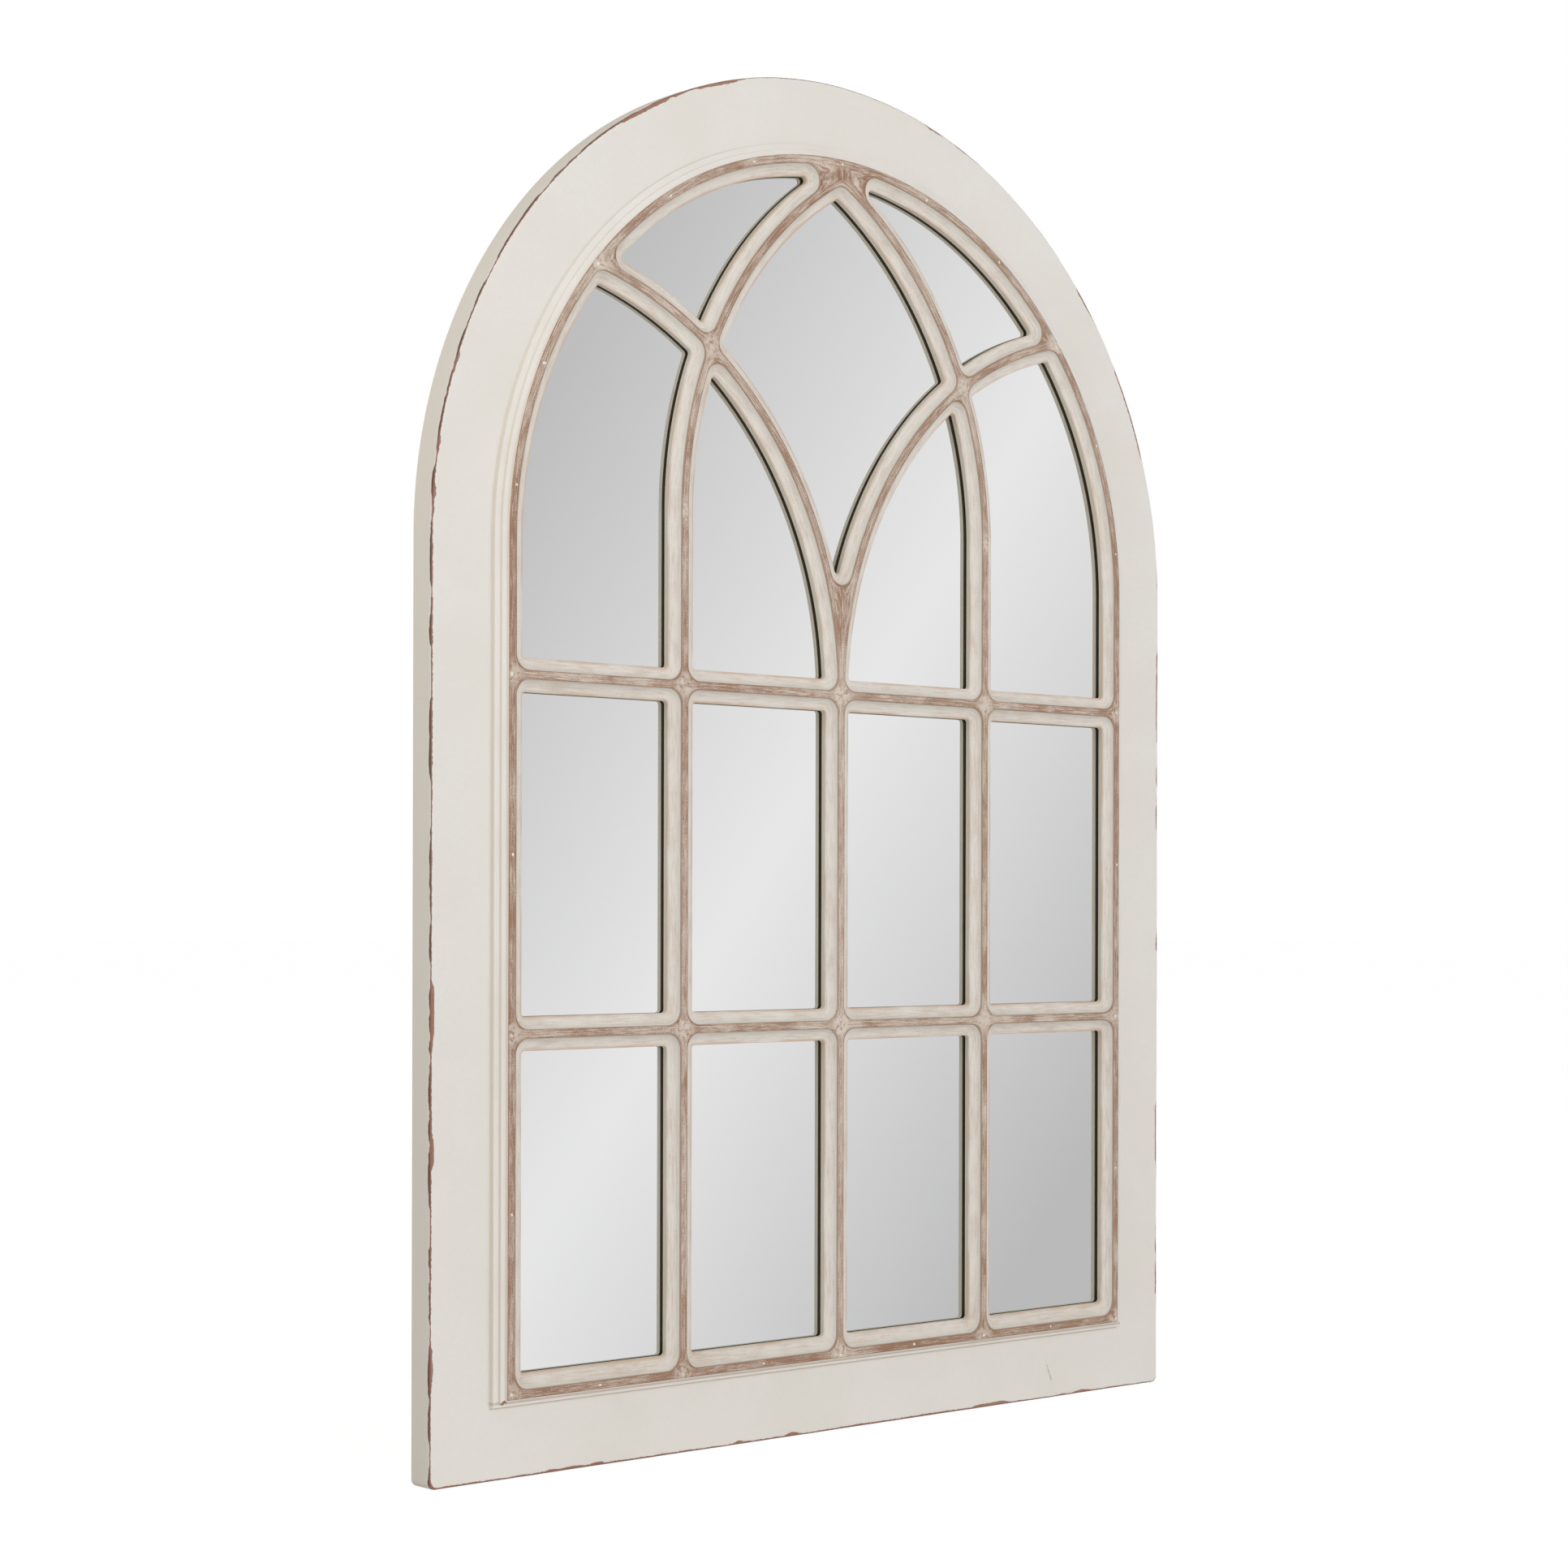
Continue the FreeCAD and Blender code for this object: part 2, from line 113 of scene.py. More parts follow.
class BoardSizes(bpy.types.PropertyGroup):
    """Section of the frame boards"""
    corner_radius: metres("Corner radius", 0.005, "Rounding of the two bottom corners")
    arris_radius: metres("Arris radius", 0.0018, "Mean rounding of the rubbed front edge")
    rear_arris: metres("Rear arris", 0.0008, "Chamfer of the rear edge")
    joint_ease: metres("Joint ease", 0.0005, "Easing of the rear at the joints")
    ledge_width: metres("Ledge width", 0.012, "Ledge that carries the glass")
    ledge_depth: metres("Ledge depth", 0.0038, "Depth of the glass rebate")
    backing_lap: metres("Backing lap", 0.0205, "Width of the rear rebate")
    backing_depth: metres("Backing depth", 0.003, "Depth of the rear rebate")
    silver_depth: metres("Silver depth", 0.0016, "Silvering as it appears behind the glass face")


class FinishColours(bpy.types.PropertyGroup):
    """Colours of the finishes"""
    cream: tint("Cream paint", "#E0DCD6", "Paint of the frame boards")
    cream_warm: tint("Warm cream", "#DAD5CB", "Thin patches of the paint")
    bare_edge: tint("Bare edge", "#95695A", "Board rubbed bare along its edge")
    bare_patch: tint("Bare patch", "#A08069", "Paler board in the rubbed patches")
    # Warm glaze and painted shade, on faces turned away from the front
    side_glaze_and_shade: tint("Side glaze", "#DACFBE", "Paint of the sides and risers, where a thin glaze stays")
    edge_line: tint("Edge line", "#54432F", "Glazed line on the side of the rubbed edge")
    crest_dark: tint("Crest brown", "#937059", "Stain of the crests")
    crest_light: tint("Crest wash", "#D2C5B8", "White wash rubbed over the stain")
    wash: tint("Flank wash", "#DDD7CE", "White wash in the coves")
    wash_grey: tint("High wash", "#C9C7BC", "Greyer wash in the coves beside a crest")
    wash_rust: tint("Rust wash", "#C8AB95", "Warm stain in the coves along the glass")
    # The wall wash carries a painted greenish reflection of the glass beside it
    wall_wash_and_reflection: tint("Wall wash", "#DCDAC9", "Wash of the upright walls, tinted by the glass beside them")
    wash_brown: tint("Flank stain", "#B79E89", "Stain that shows through the wash")
    fibreboard: tint("Fibreboard", "#9B7F66", "Bare rear of the boards")
    hardboard: tint("Hardboard", "#7A5638", "Backing board")
    filler: tint("Filler", "#E9E3D8", "Filler over the brad heads")


class WindowMirror(bpy.types.PropertyGroup):
    """Everything that can be set on the mirror"""
    tracery: bpy.props.PointerProperty(type=TracerySizes, name="Tracery", description="Sizes of the panel")
    boards: bpy.props.PointerProperty(type=BoardSizes, name="Boards", description="Sizes of the boards")
    colours: bpy.props.PointerProperty(type=FinishColours, name="Colours", description="Finishes")


# Layout from the frame

def layout(tracery):
    """Lines of the mirror in the XZ plane, worked out from the boxes of the CAD nodes."""
    panel_low, panel_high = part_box("tracery_panel")
    stile_low, stile_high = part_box("frame_stile_left")
    _, rail_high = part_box("frame_bottom_rail")
    edge = tracery.crest_width / 2 + tracery.high_step + tracery.low_step
    bottom_edge = tracery.crest_width / 2 + tracery.bottom_high_step + tracery.bottom_low_step
    lay = SimpleNamespace(front=panel_low.y + tracery.filler_rise, face=panel_high.y, back=stile_high.y)
    lay.crest_half = panel_high.x - edge
    lay.bay = lay.crest_half / 2
    lay.base = panel_low.z + bottom_edge
    lay.foot = panel_low.z
    lay.panel_half = panel_high.x
    lay.spring = stile_high.z
    lay.upper_rail = lay.spring - tracery.head_rise
    lay.lower_rail = (lay.base + lay.upper_rail) / 2
    lay.side_spring = lay.upper_rail + tracery.side_bar_rise
    lay.crown = lay.spring + lay.crest_half - tracery.crown_drop
    lay.frame_half = -stile_low.x
    lay.bottom = stile_low.z
    lay.opening_half = -stile_high.x
    lay.rail_top = rail_high.z
    rise = lay.crown - lay.side_spring
    lay.side_radius = (lay.bay ** 2 + rise ** 2) / (2 * lay.bay)
    return lay


def pairs(x, z):
    """XZ points from two arrays or numbers."""
    return np.stack(np.broadcast_arrays(x, z), -1)


def rays(angle):
    """Unit XZ directions at angles from +X towards +Z."""
    return pairs(np.cos(angle), np.sin(angle))


def line(point, normal, top=math.inf):
    point, normal = np.array(point), np.array(normal)
    return SimpleNamespace(centre=None, point=point, normal=normal, foot=-math.inf, top=top)


def circle(centre, radius):
    return SimpleNamespace(centre=np.array(centre), radius=radius, foot=centre[1], top=math.inf)


def distance(curve, points):
    """Signed distance of points from a line, or from a circle, where outside is positive."""
    if curve.centre is None:
        return (points - curve.point) @ curve.normal
    return np.linalg.norm(points - curve.centre, axis=-1) - curve.radius


def gradient(curve, points):
    """Unit direction in which the signed distance grows."""
    if curve.centre is None:
        return np.broadcast_to(curve.normal, points.shape)
    arm = points - curve.centre
    return arm / np.linalg.norm(arm, axis=-1, keepdims=True)


def along(curve, start, end, step):
    """Points spaced evenly from start to end on a line or the short way round a circle, the last left out."""
    start = np.array(start)
    end = np.array(end)
    if curve.centre is None:
        count = max(2, round(float(np.linalg.norm(end - start)) / step))
        share = np.arange(count)[:, None] / count
        return start + share * (end - start)
    first = math.atan2(*(start - curve.centre)[::-1])
    last = math.atan2(*(end - curve.centre)[::-1])
    turn = (last - first + math.pi) % (2 * math.pi) - math.pi
    count = max(2, round(abs(turn) * curve.radius / step))
    angle = first + turn * np.arange(count) / count
    return curve.centre + curve.radius * rays(angle)


def clear_of(curve, points, side, gap):
    """Whether points keep a gap from a curve on one side, or lie above or below the curve's own stretch."""
    beyond = (points[:, 1] < curve.foot) | (points[:, 1] > curve.top)
    return beyond | (distance(curve, points) * side > gap - TOUCH)


def meeting(first, second, first_gap, second_gap, guess):
    """Point at two given signed distances from two curves, by Newton steps from a guess."""
    spot = np.array(guess, float)
    for _ in range(40):
        slopes = np.stack([gradient(first, spot), gradient(second, spot)])
        miss = np.array([first_gap - distance(first, spot), second_gap - distance(second, spot)])
        spot = spot + np.linalg.lstsq(slopes, miss, rcond=None)[0]
    return spot


# Mesh helpers

def plain(points):
    """A grid of points whose rows and columns lie 1 mm apart in its UV map."""
    return points, np.arange(len(points) + 1) * MM, np.arange(points.shape[1]) * MM


def put_grids(name, grids, closed_rows=True, closed_columns=False, caps=(), values=None):
    """Object from grids of points, each with its run along the rows and its place across the columns.

    Run and place make the UV map. The run has one value more than the rows, and the place one more than
    closed columns. caps holds the ends that are filled, 0 and -1: of the rows where the columns are closed,
    or else of the columns. values maps the names of point attributes to arrays. The mesh is welded, and its
    faces are turned outwards.
    """
    faces, uvs, started = [], [], 0
    for points, run, across in grids:
        rows, columns = points.shape[:2]
        row = np.arange(rows if closed_rows else rows - 1)[:, None]
        column = np.arange(columns if closed_columns else columns - 1)
        corners = [pairs(row + r, column + c) for r, c in ((0, 0), (1, 0), (1, 1), (0, 1))]
        row, column = np.moveaxis(np.stack(corners, 2).reshape(-1, 4, 2), -1, 0)
        faces.append(row % rows * columns + column % columns + started)
        uvs.append(pairs(run[row], across[column]).reshape(-1, 2))
        numbers = np.arange(rows * columns).reshape(rows, columns) + started
        for end in caps:
            rim = numbers[end] if closed_columns else numbers[:, end]
            faces.append(rim[None])
            uvs.append(np.zeros((len(rim), 2)))
        started += rows * columns
    points = np.concatenate([grid[0].reshape(-1, 3) for grid in grids])
    sizes = np.concatenate([np.full(len(part), part.shape[1]) for part in faces])
    corners = np.concatenate([part.ravel() for part in faces])
    mesh = bpy.data.meshes.new(name)
    mesh.vertices.add(len(points))
    mesh.vertices.foreach_set("co", points.astype(np.float32).ravel())
    mesh.loops.add(len(corners))
    mesh.loops.foreach_set("vertex_index", corners.astype(np.int32))
    mesh.polygons.add(len(sizes))
    mesh.polygons.foreach_set("loop_start", (np.cumsum(sizes) - sizes).astype(np.int32))
    mesh.polygons.foreach_set("loop_total", sizes.astype(np.int32))
    mesh.update(calc_edges=True)
    mesh.uv_layers.new(name="run").uv.foreach_set("vector", np.concatenate(uvs).astype(np.float32).ravel())
    for key, array in (values or {}).items():
        mesh.attributes.new(key, "FLOAT", "POINT").data.foreach_set("value", array.astype(np.float32))
    shell = bmesh.new()
    shell.from_mesh(mesh)
    bmesh.ops.remove_doubles(shell, verts=shell.verts, dist=WELD)
    bmesh.ops.recalc_face_normals(shell, faces=shell.faces)
    shell.to_mesh(mesh)
    shell.free()
    mesh.validate()
    mesh.shade_smooth()
    mesh.set_sharp_from_angle(angle=SHARP_ANGLE)
    piece = bpy.data.objects.new(name, mesh)
    bpy.context.scene.collection.objects.link(piece)
    return piece


def finish_piece(piece, material, slot, *nodes):
    piece.data.materials.append(material)
    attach(piece, BODY)
    if nodes:
        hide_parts(*nodes)


def in_space(flat, depth):
    """Points in space from XZ points and their Y."""
    return np.stack([flat[..., 0], np.broadcast_to(depth, flat.shape[:-1]), flat[..., 1]], -1)


def lengths(points, closed):
    """Running length along a polyline, with the closing stretch as the last value."""
    ahead = np.roll(points, -1, 0) if closed else np.concatenate([points[1:], points[-1:]])
    return np.concatenate([[0.0], np.cumsum(np.linalg.norm(ahead - points, axis=1))])


# Frame boards

RAIL_ROWS = 181
STILE_ROWS = 201
ARCH_ROWS = 151
CORNER_ROWS = 13
FOOT_ROWS = 25
ARRIS_ROWS = 9
FACE_ROWS = (3 * MM, 6 * MM, 15 * MM)
SIDE_ROW = 8 * MM
RUBBING_SEED = 4
RUBBING_WAVES = ((0.31, 0.5), (0.083, 0.3), (0.021, 0.2))
RUBBING_SHARE = 0.35


def outline(lay, boards, name):
    """Outer points of one board, the inner points that face them, and the depth of the board between them."""
    half, inner, radius = lay.frame_half, lay.opening_half, boards.corner_radius
    side_depth = half - inner
    low_depth = lay.rail_top - lay.bottom
    if name == "frame_bottom_rail":
        x = np.linspace(-inner, inner, RAIL_ROWS)
        return pairs(x, lay.bottom), pairs(x, lay.rail_top), np.full_like(x, low_depth)
    if name.startswith("frame_arch"):
        first = 90 if name.endswith("left") else 0
        ray = rays(np.radians(np.linspace(first, first + 90, ARCH_ROWS)))
        middle = np.array([0, lay.spring])
        return middle + half * ray, middle + inner * ray, np.full(len(ray), side_depth)
    side = -1 if name.endswith("left") else 1
    z = np.linspace(lay.spring, lay.bottom + radius, STILE_ROWS)
    turn = np.radians(np.linspace(0, 90, CORNER_ROWS)[1:-1])
    bend = pairs(side * (half - radius + radius * np.cos(turn)), lay.bottom + radius - radius * np.sin(turn))
    x = np.linspace(half - radius, inner, FOOT_ROWS)
    outer = np.concatenate([pairs(side * half, z), bend, pairs(side * x, lay.bottom)])
    facing = pairs(side * inner, np.maximum(outer[:, 1], lay.rail_top))
    between = np.linspace(side_depth, low_depth, CORNER_ROWS)[1:-1]
    depth = np.concatenate([np.full(len(z), side_depth), between, np.full(len(x), low_depth)])
    return outer, facing, depth


def closer_ends(rows):
    """The same rows, with one more a fifth of a step in from either end."""
    start, end = 0.8 * rows[:1] + 0.2 * rows[1:2], 0.2 * rows[-2:-1] + 0.8 * rows[-1:]
    return np.concatenate([rows[:1], start, rows[1:-1], end, rows[-1:]])


def board_piece(lay, boards, name, rubbing):
    """One board as a closed profile carried along its stretch of the frame's outline.

    A profile point lies a distance in from the outer edge, on the straight line to the facing inner point, at
    a Y. The front edge is a quarter circle whose radius wanders along the run, because it was rubbed by hand.
    The rear is eased at both ends, so that the joints show behind.
    """
    outer, facing, depth = (closer_ends(rows) for rows in outline(lay, boards, name))
    run = lengths(outer, False)[:-1]
    waves = sum(np.sin(run[:, None] * (2 * math.pi / size) + rubbing.uniform(0, 2 * math.pi)) * weight
                for size, weight in RUBBING_WAVES)
    radius = boards.arris_radius * (1 + RUBBING_SHARE * waves)
    turn = np.radians(np.linspace(0, 90, ARRIS_ROWS))
    one = np.ones((len(run), 1))
    deep = depth[:, None]
    ledge = lay.face + boards.ledge_depth
    rebate = lay.back - boards.backing_depth
    rear, lip, lap = boards.rear_arris, boards.ledge_width, boards.backing_lap
    inset = np.concatenate([one * (rear, 0, 0), radius * (1 - np.cos(turn)), one * FACE_ROWS,
                            deep - (lip, lip, 0, 0, lap, lap)], 1)
    y = np.concatenate([one * (lay.back, lay.back - rear, lay.back - SIDE_ROW),
                        lay.face + radius * (1 - np.sin(turn)),
                        one * ((lay.face,) * 4 + (ledge, ledge, rebate, rebate, lay.back))], 1)
    y[[0, -1]] = np.minimum(y[[0, -1]], lay.back - boards.joint_ease)
    flat = outer[:, None] + (facing - outer)[:, None] * (inset / deep)[..., None]
    middle = len(run) // 3
    across = lengths(np.stack([inset[middle], y[middle]], 1), True)
    across = across - across[3 + ARRIS_ROWS // 2]
    grid = in_space(flat, y), np.append(run, run[-1]), across
    return put_grids(name + "_painted", [grid], closed_rows=False, closed_columns=True, caps=(0, -1))


class WINDOW_MIRROR_OT_boards(bpy.types.Operator):
    """Builds the five painted boards of the frame"""
    bl_idname = "window_mirror.boards"
    bl_label = "Frame boards"

    def execute(self, context):
        settings = context.scene.window_mirror
        lay = layout(settings.tracery)
        rubbing = np.random.default_rng(RUBBING_SEED)
        paint = milk_paint(settings.colours, lay)
        for name in BOARDS:
            finish_piece(board_piece(lay, settings.boards, name, rubbing), paint, "painted_board", name)
        return {"FINISHED"}


# Tracery panel

SMOOTH_TURN = 0.02
CORNER_GUESS = 0.35
REAR_PLACES = np.array([4, 12]) * MM


def tracery_curves(lay, tracery):
    """Crest lines of the border, rails, mullions and curved bars."""
    curves = {"base": line((0, lay.base), (0, 1)), "lower": line((0, lay.lower_rail), (0, 1)),
              "upper": line((0, lay.upper_rail), (0, 1)), "head": circle((0, lay.spring), lay.crest_half),
              "crown": line((0, 0), (1, 0))}
    tops = {0: lay.upper_rail, 1: lay.side_spring, 2: lay.spring}
    for k in range(-2, 3):
        curves[f"upright{k}"] = line((k * lay.bay, 0), (1, 0), tops[abs(k)])
    for side in (-1, 1):
        curves[f"side{side}"] = circle((side * (lay.bay - lay.side_radius), lay.side_spring), lay.side_radius)
        curves[f"fork{side}"] = circle((side * tracery.fork_radius, lay.upper_rail), tracery.fork_radius)
    return curves


def tracery_cells(lay, curves):
    """Each pane's cell as its heart and a ring of (curve name, start, end) along the crest lines round it.

    A heart is any point well inside the pane. It only tells which side of a curve is inward.
    """
    levels = (("base", lay.base), ("lower", lay.lower_rail), ("upper", lay.upper_rail))
    cells = []
    for row in (0, 1):
        for k in range(-2, 2):
            left, right = k * lay.bay, (k + 1) * lay.bay
            (low_name, low), (high_name, high) = levels[row:row + 2]
            cells.append((((left + right) / 2, (low + high) / 2), [
                (low_name, (left, low), (right, low)), (f"upright{k + 1}", (right, low), (right, high)),
                (high_name, (right, high), (left, high)), (f"upright{k}", (left, high), (left, low))]))
    rail = lay.upper_rail
    root = (0, rail)
    peak = (0, lay.crown)
    top = (0, lay.spring + lay.crest_half)
    cross = {}
    for side in (-1, 1):
        fork, bar, post, wall = f"fork{side}", f"side{side}", f"upright{side}", f"upright{2 * side}"
        near, far = (side * lay.bay, rail), (side * lay.crest_half, rail)
        spring, turn = (side * lay.crest_half, lay.spring), (side * lay.bay, lay.side_spring)
        guess = (0.9 * side * lay.bay, lay.side_spring + 0.9 * lay.bay)
        cross[side] = meeting(curves[fork], curves[bar], 0, 0, guess)
        guess = (1.5 * side * lay.bay, lay.side_spring + lay.bay)
        tip = meeting(curves[fork], curves["head"], 0, 0, guess)
        cells.append((((near[0] + far[0]) / 2, lay.spring), [
            ("upper", far, near), (post, near, turn), (bar, turn, cross[side]), (fork, cross[side], tip),
            ("head", tip, spring), (wall, spring, far)]))
        cells.append(((0.55 * near[0], lay.spring - 0.2 * lay.bay), [
            ("upper", near, root), (fork, root, cross[side]), (bar, cross[side], turn), (post, turn, near)]))
        cells.append((((cross[side][0] + tip[0]) / 2 * 0.72, (cross[side][1] + lay.crown) / 2), [
            ("head", tip, top), ("crown", top, peak), (bar, peak, cross[side]), (fork, cross[side], tip)]))
    cells.append(((0, (cross[1][1] + lay.side_spring) / 2 + 0.1 * lay.bay), [
        ("fork1", root, cross[1]), ("side1", cross[1], peak), ("side-1", peak, cross[-1]),
        ("fork-1", cross[-1], root)]))
    return cells


def flank_section(tracery):
    """Section of a routed flank: reach over the pane's inmost outline, and depth under the crest.

    The crest's edge is eased, a small step follows, then a hollow cove, and a wall down to the glass.
    """
    reach = tracery.flank_width + tracery.pane_corner
    ease = tracery.soft_edge / 2
    share = np.linspace(0, 1, 9)
    run = tracery.flank_width - tracery.quirk_width
    drop = tracery.flank_depth - tracery.quirk_depth
    hollow = 4 * share * (1 - share) * tracery.cove_hollow / math.hypot(run, drop)
    cove_in = tracery.quirk_width + share * run - hollow * drop
    cove_down = tracery.quirk_depth + share * drop + hollow * run
    inset = np.concatenate([[-ease, -0.3 * ease, 0, 0], cove_in[:-1],
                            [tracery.flank_width - ease, tracery.flank_width]])
    depth = np.concatenate([[0, 0.15 * ease, ease, tracery.quirk_depth * 0.8], cove_down[:-1],
                            [tracery.flank_depth - 0.2 * ease, tracery.flank_depth + ease]])
    return reach - inset, depth


def pane_ring(cell, curves, lay, tracery):
    """Grid round one pane: from its crest lines over crest and flank to the glass, and back behind.

    A crest-line point looks along its inward normal for the pane's inmost sharp outline. Where that foot lies
    outside the outline, it looks at the nearest corner of it. Every level is a distance from that foot along
    the line of sight, which rounds the corners as the router does. The levels over the bottom border are
    stretched to its wider flank. Two edges make a corner unless they run on smoothly. The two forks leave
    their root side by side, and still make one.
    """
    heart, ring = cell
    heart = np.array(heart)
    real = [edge for edge in ring if edge[0] != "crown"]
    inward = {name: np.sign(distance(curves[name], heart)) for name, _, _ in real}
    gap = dict.fromkeys(curves, tracery.crest_width / 2 + tracery.flank_width + tracery.pane_corner)
    gap["base"] += tracery.bottom_flank
    corners = []
    for before, after in zip(real, real[1:] + real[:1]):
        both = before[0], after[0]
        joint = (np.array(before[2]) + np.array(after[1])) / 2
        turn = np.linalg.det(np.stack([gradient(curves[name], joint) for name in both]))
        if abs(turn) > SMOOTH_TURN or set(both) == {"fork1", "fork-1"}:
            gaps = [gap[name] * inward[name] for name in both]
            guess = joint + CORNER_GUESS * (heart - joint)
            corners.append(meeting(curves[both[0]], curves[both[1]], *gaps, guess))
    corners = np.array(corners)
    crest, feet = [], []
    for name, start, end in ring:
        spots = along(curves[name], start, end, tracery.sampling)
        if name == "crown":
            foot = spots
            inside = np.zeros(len(spots), bool)
        else:
            foot = spots + gap[name] * inward[name] * gradient(curves[name], spots)
            clear = [clear_of(curves[other], foot, inward[other], gap[other]) for other in inward]
            inside = np.all(clear, axis=0)
        nearest = corners[np.argmin(np.linalg.norm(foot[:, None] - corners, axis=2), 1)]
        crest.append(spots)
        feet.append(np.where(inside[:, None], foot, nearest))
    crest = np.concatenate(crest)
    feet = np.concatenate(feet)
    sight = crest - feet
    far = np.linalg.norm(sight, axis=1, keepdims=True)
    sight = sight / far
    reach, depth = flank_section(tracery)
    stretch = tracery.bottom_flank / tracery.flank_width if "base" in inward else 0
    wider = np.minimum(sight[:, 1:], 0) ** 2 * stretch
    levels = tracery.pane_corner + (reach - tracery.pane_corner) * (1 + wider)
    crest_share = np.array([1, 0.7, 0.4, 0.15])
    crest_reach = levels[:, :1] + (far - levels[:, :1]) * crest_share
    levels = np.concatenate([crest_reach, levels, levels[:, -1:], far], 1)
    y = lay.front + np.concatenate([np.zeros(len(crest_share)), depth, [lay.face - lay.front] * 2])
    points = in_space(feet[:, None] + sight[:, None] * levels[..., None], y)
    half = tracery.crest_width / 2
    flank = half + np.cumsum(np.hypot(np.diff(reach, prepend=reach[0]), np.diff(depth, prepend=depth[0])))
    across = np.concatenate([half * (1 - crest_share), flank, flank[-1] + REAR_PLACES])
    return points, lengths(crest, True), across


def border_edge(lay, curves, cells, tracery):
    """Grid round the panel: the outer half of the border's crest and the stepped edge, as one profile.

    Every point goes straight out from the crest line, and at the two bottom corners out both ways at once.
    """
    border = {"base", "head", "upright-2", "upright2"}
    spots, out = [], []
    for _, ring in cells:
        for name, start, end in ring:
            if name in border:
                points = np.concatenate([along(curves[name], start, end, tracery.sampling), [end]])
                spots.append(points)
                out.append(gradient(curves[name], points) * (1 if name in ("head", "upright2") else -1))
    spots = np.concatenate(spots)
    out = np.concatenate(out)
    on_side = spots[:, 1] < lay.spring
    position = np.where(on_side, spots[:, 1] - lay.spring, lay.crest_half * np.arcsin(
        np.clip((spots[:, 1] - lay.spring) / lay.crest_half, 0, 1)))
    position = np.where(spots[:, 0] < 0, -1, 1) * (lay.spring - lay.base + position + lay.crest_half)
    on_base = spots[:, 1] < lay.base + TOUCH
    position = np.where(on_base, spots[:, 0], position)
    order = np.argsort(position)
    order = order[np.diff(position[order], prepend=-math.inf) > TOUCH]
    spots, out = spots[order], out[order]
    low_corner = (np.abs(np.abs(spots[:, 0]) - lay.crest_half) < TOUCH) & on_base[order]
    out = np.where(low_corner[:, None], pairs(np.sign(spots[:, 0]), -1.0), out)
    half = tracery.crest_width / 2
    soft = tracery.soft_edge
    levels = (0, tracery.high_step_drop, tracery.low_step_drop, lay.face - lay.front)
    side_edges = half + np.cumsum([0, tracery.high_step, tracery.low_step])
    base_edges = half + np.cumsum([0, tracery.bottom_high_step, tracery.bottom_low_step])
    rounding = np.array([-soft, -0.3 * soft, 0, 0, 0.3 * soft, soft])
    side, base = (np.concatenate([[0, 0.6 * half], (edges[:, None] + rounding).ravel(), [0]])
                  for edges in (side_edges, base_edges))
    risers = [[top, top + 0.3 * soft, top + soft, foot - soft, foot - 0.3 * soft, foot]
              for top, foot in zip(levels, levels[1:])]
    depth = np.concatenate([[0, 0], *risers, levels[-1:]])
    outward = np.where(out[:, None, 1] < 0, base, side)
    flat = spots[:, None] + pairs(out[:, None, 0] * side, out[:, None, 1] * outward)
    points = in_space(flat, lay.front + depth)
    across = -np.cumsum(np.hypot(np.diff(side, prepend=0), np.diff(depth, prepend=0)))
    return points, lengths(spots, True), across


class WINDOW_MIRROR_OT_tracery(bpy.types.Operator):
    """Builds the routed tracery panel as one shell: a ring for each pane and the stepped edge round them"""
    bl_idname = "window_mirror.tracery"
    bl_label = "Tracery panel"

    def execute(self, context):
        settings = context.scene.window_mirror
        tracery = settings.tracery
        lay = layout(tracery)
        curves = tracery_curves(lay, tracery)
        cells = tracery_cells(lay, curves)
        grids = [pane_ring(cell, curves, lay, tracery) for cell in cells]
        grids.append(border_edge(lay, curves, cells, tracery))
        grids = [(points, run + place, across) for place, (points, run, across) in enumerate(grids)]
        points = np.concatenate([grid[0].reshape(-1, 3) for grid in grids])
        nodes = np.array([spot for _, ring in cells for _, spot, _ in ring
                          if abs(spot[1] - lay.spring) > MM and spot[1] < lay.crown - MM])
        nodes = np.unique(nodes.round(5), axis=0)
        to_node = np.min(np.linalg.norm(points[:, None, [0, 2]] - nodes, axis=2), 1)
        panel = put_grids("tracery_panel_washed", grids, values={"crossing": to_node})
        washed = washed_fibreboard(settings.colours, lay, tracery)
        finish_piece(panel, washed, "washed_panel", "tracery_panel")
        return {"FINISHED"}


# Glass, brads and screws

GLASS_ROWS = 145
GLASS_EASE = 0.3 * MM
DAB_SEED = 11
DAB_STRAY = 0.5 * MM
DAB_RADII = (0.75 * MM, 1.25 * MM)
DAB_WOBBLE = 0.18
DAB_SIDES = 16
SCREW_GAP = 15 * MM
SCREW_SIDES = 72
DOME_ROWS = 19


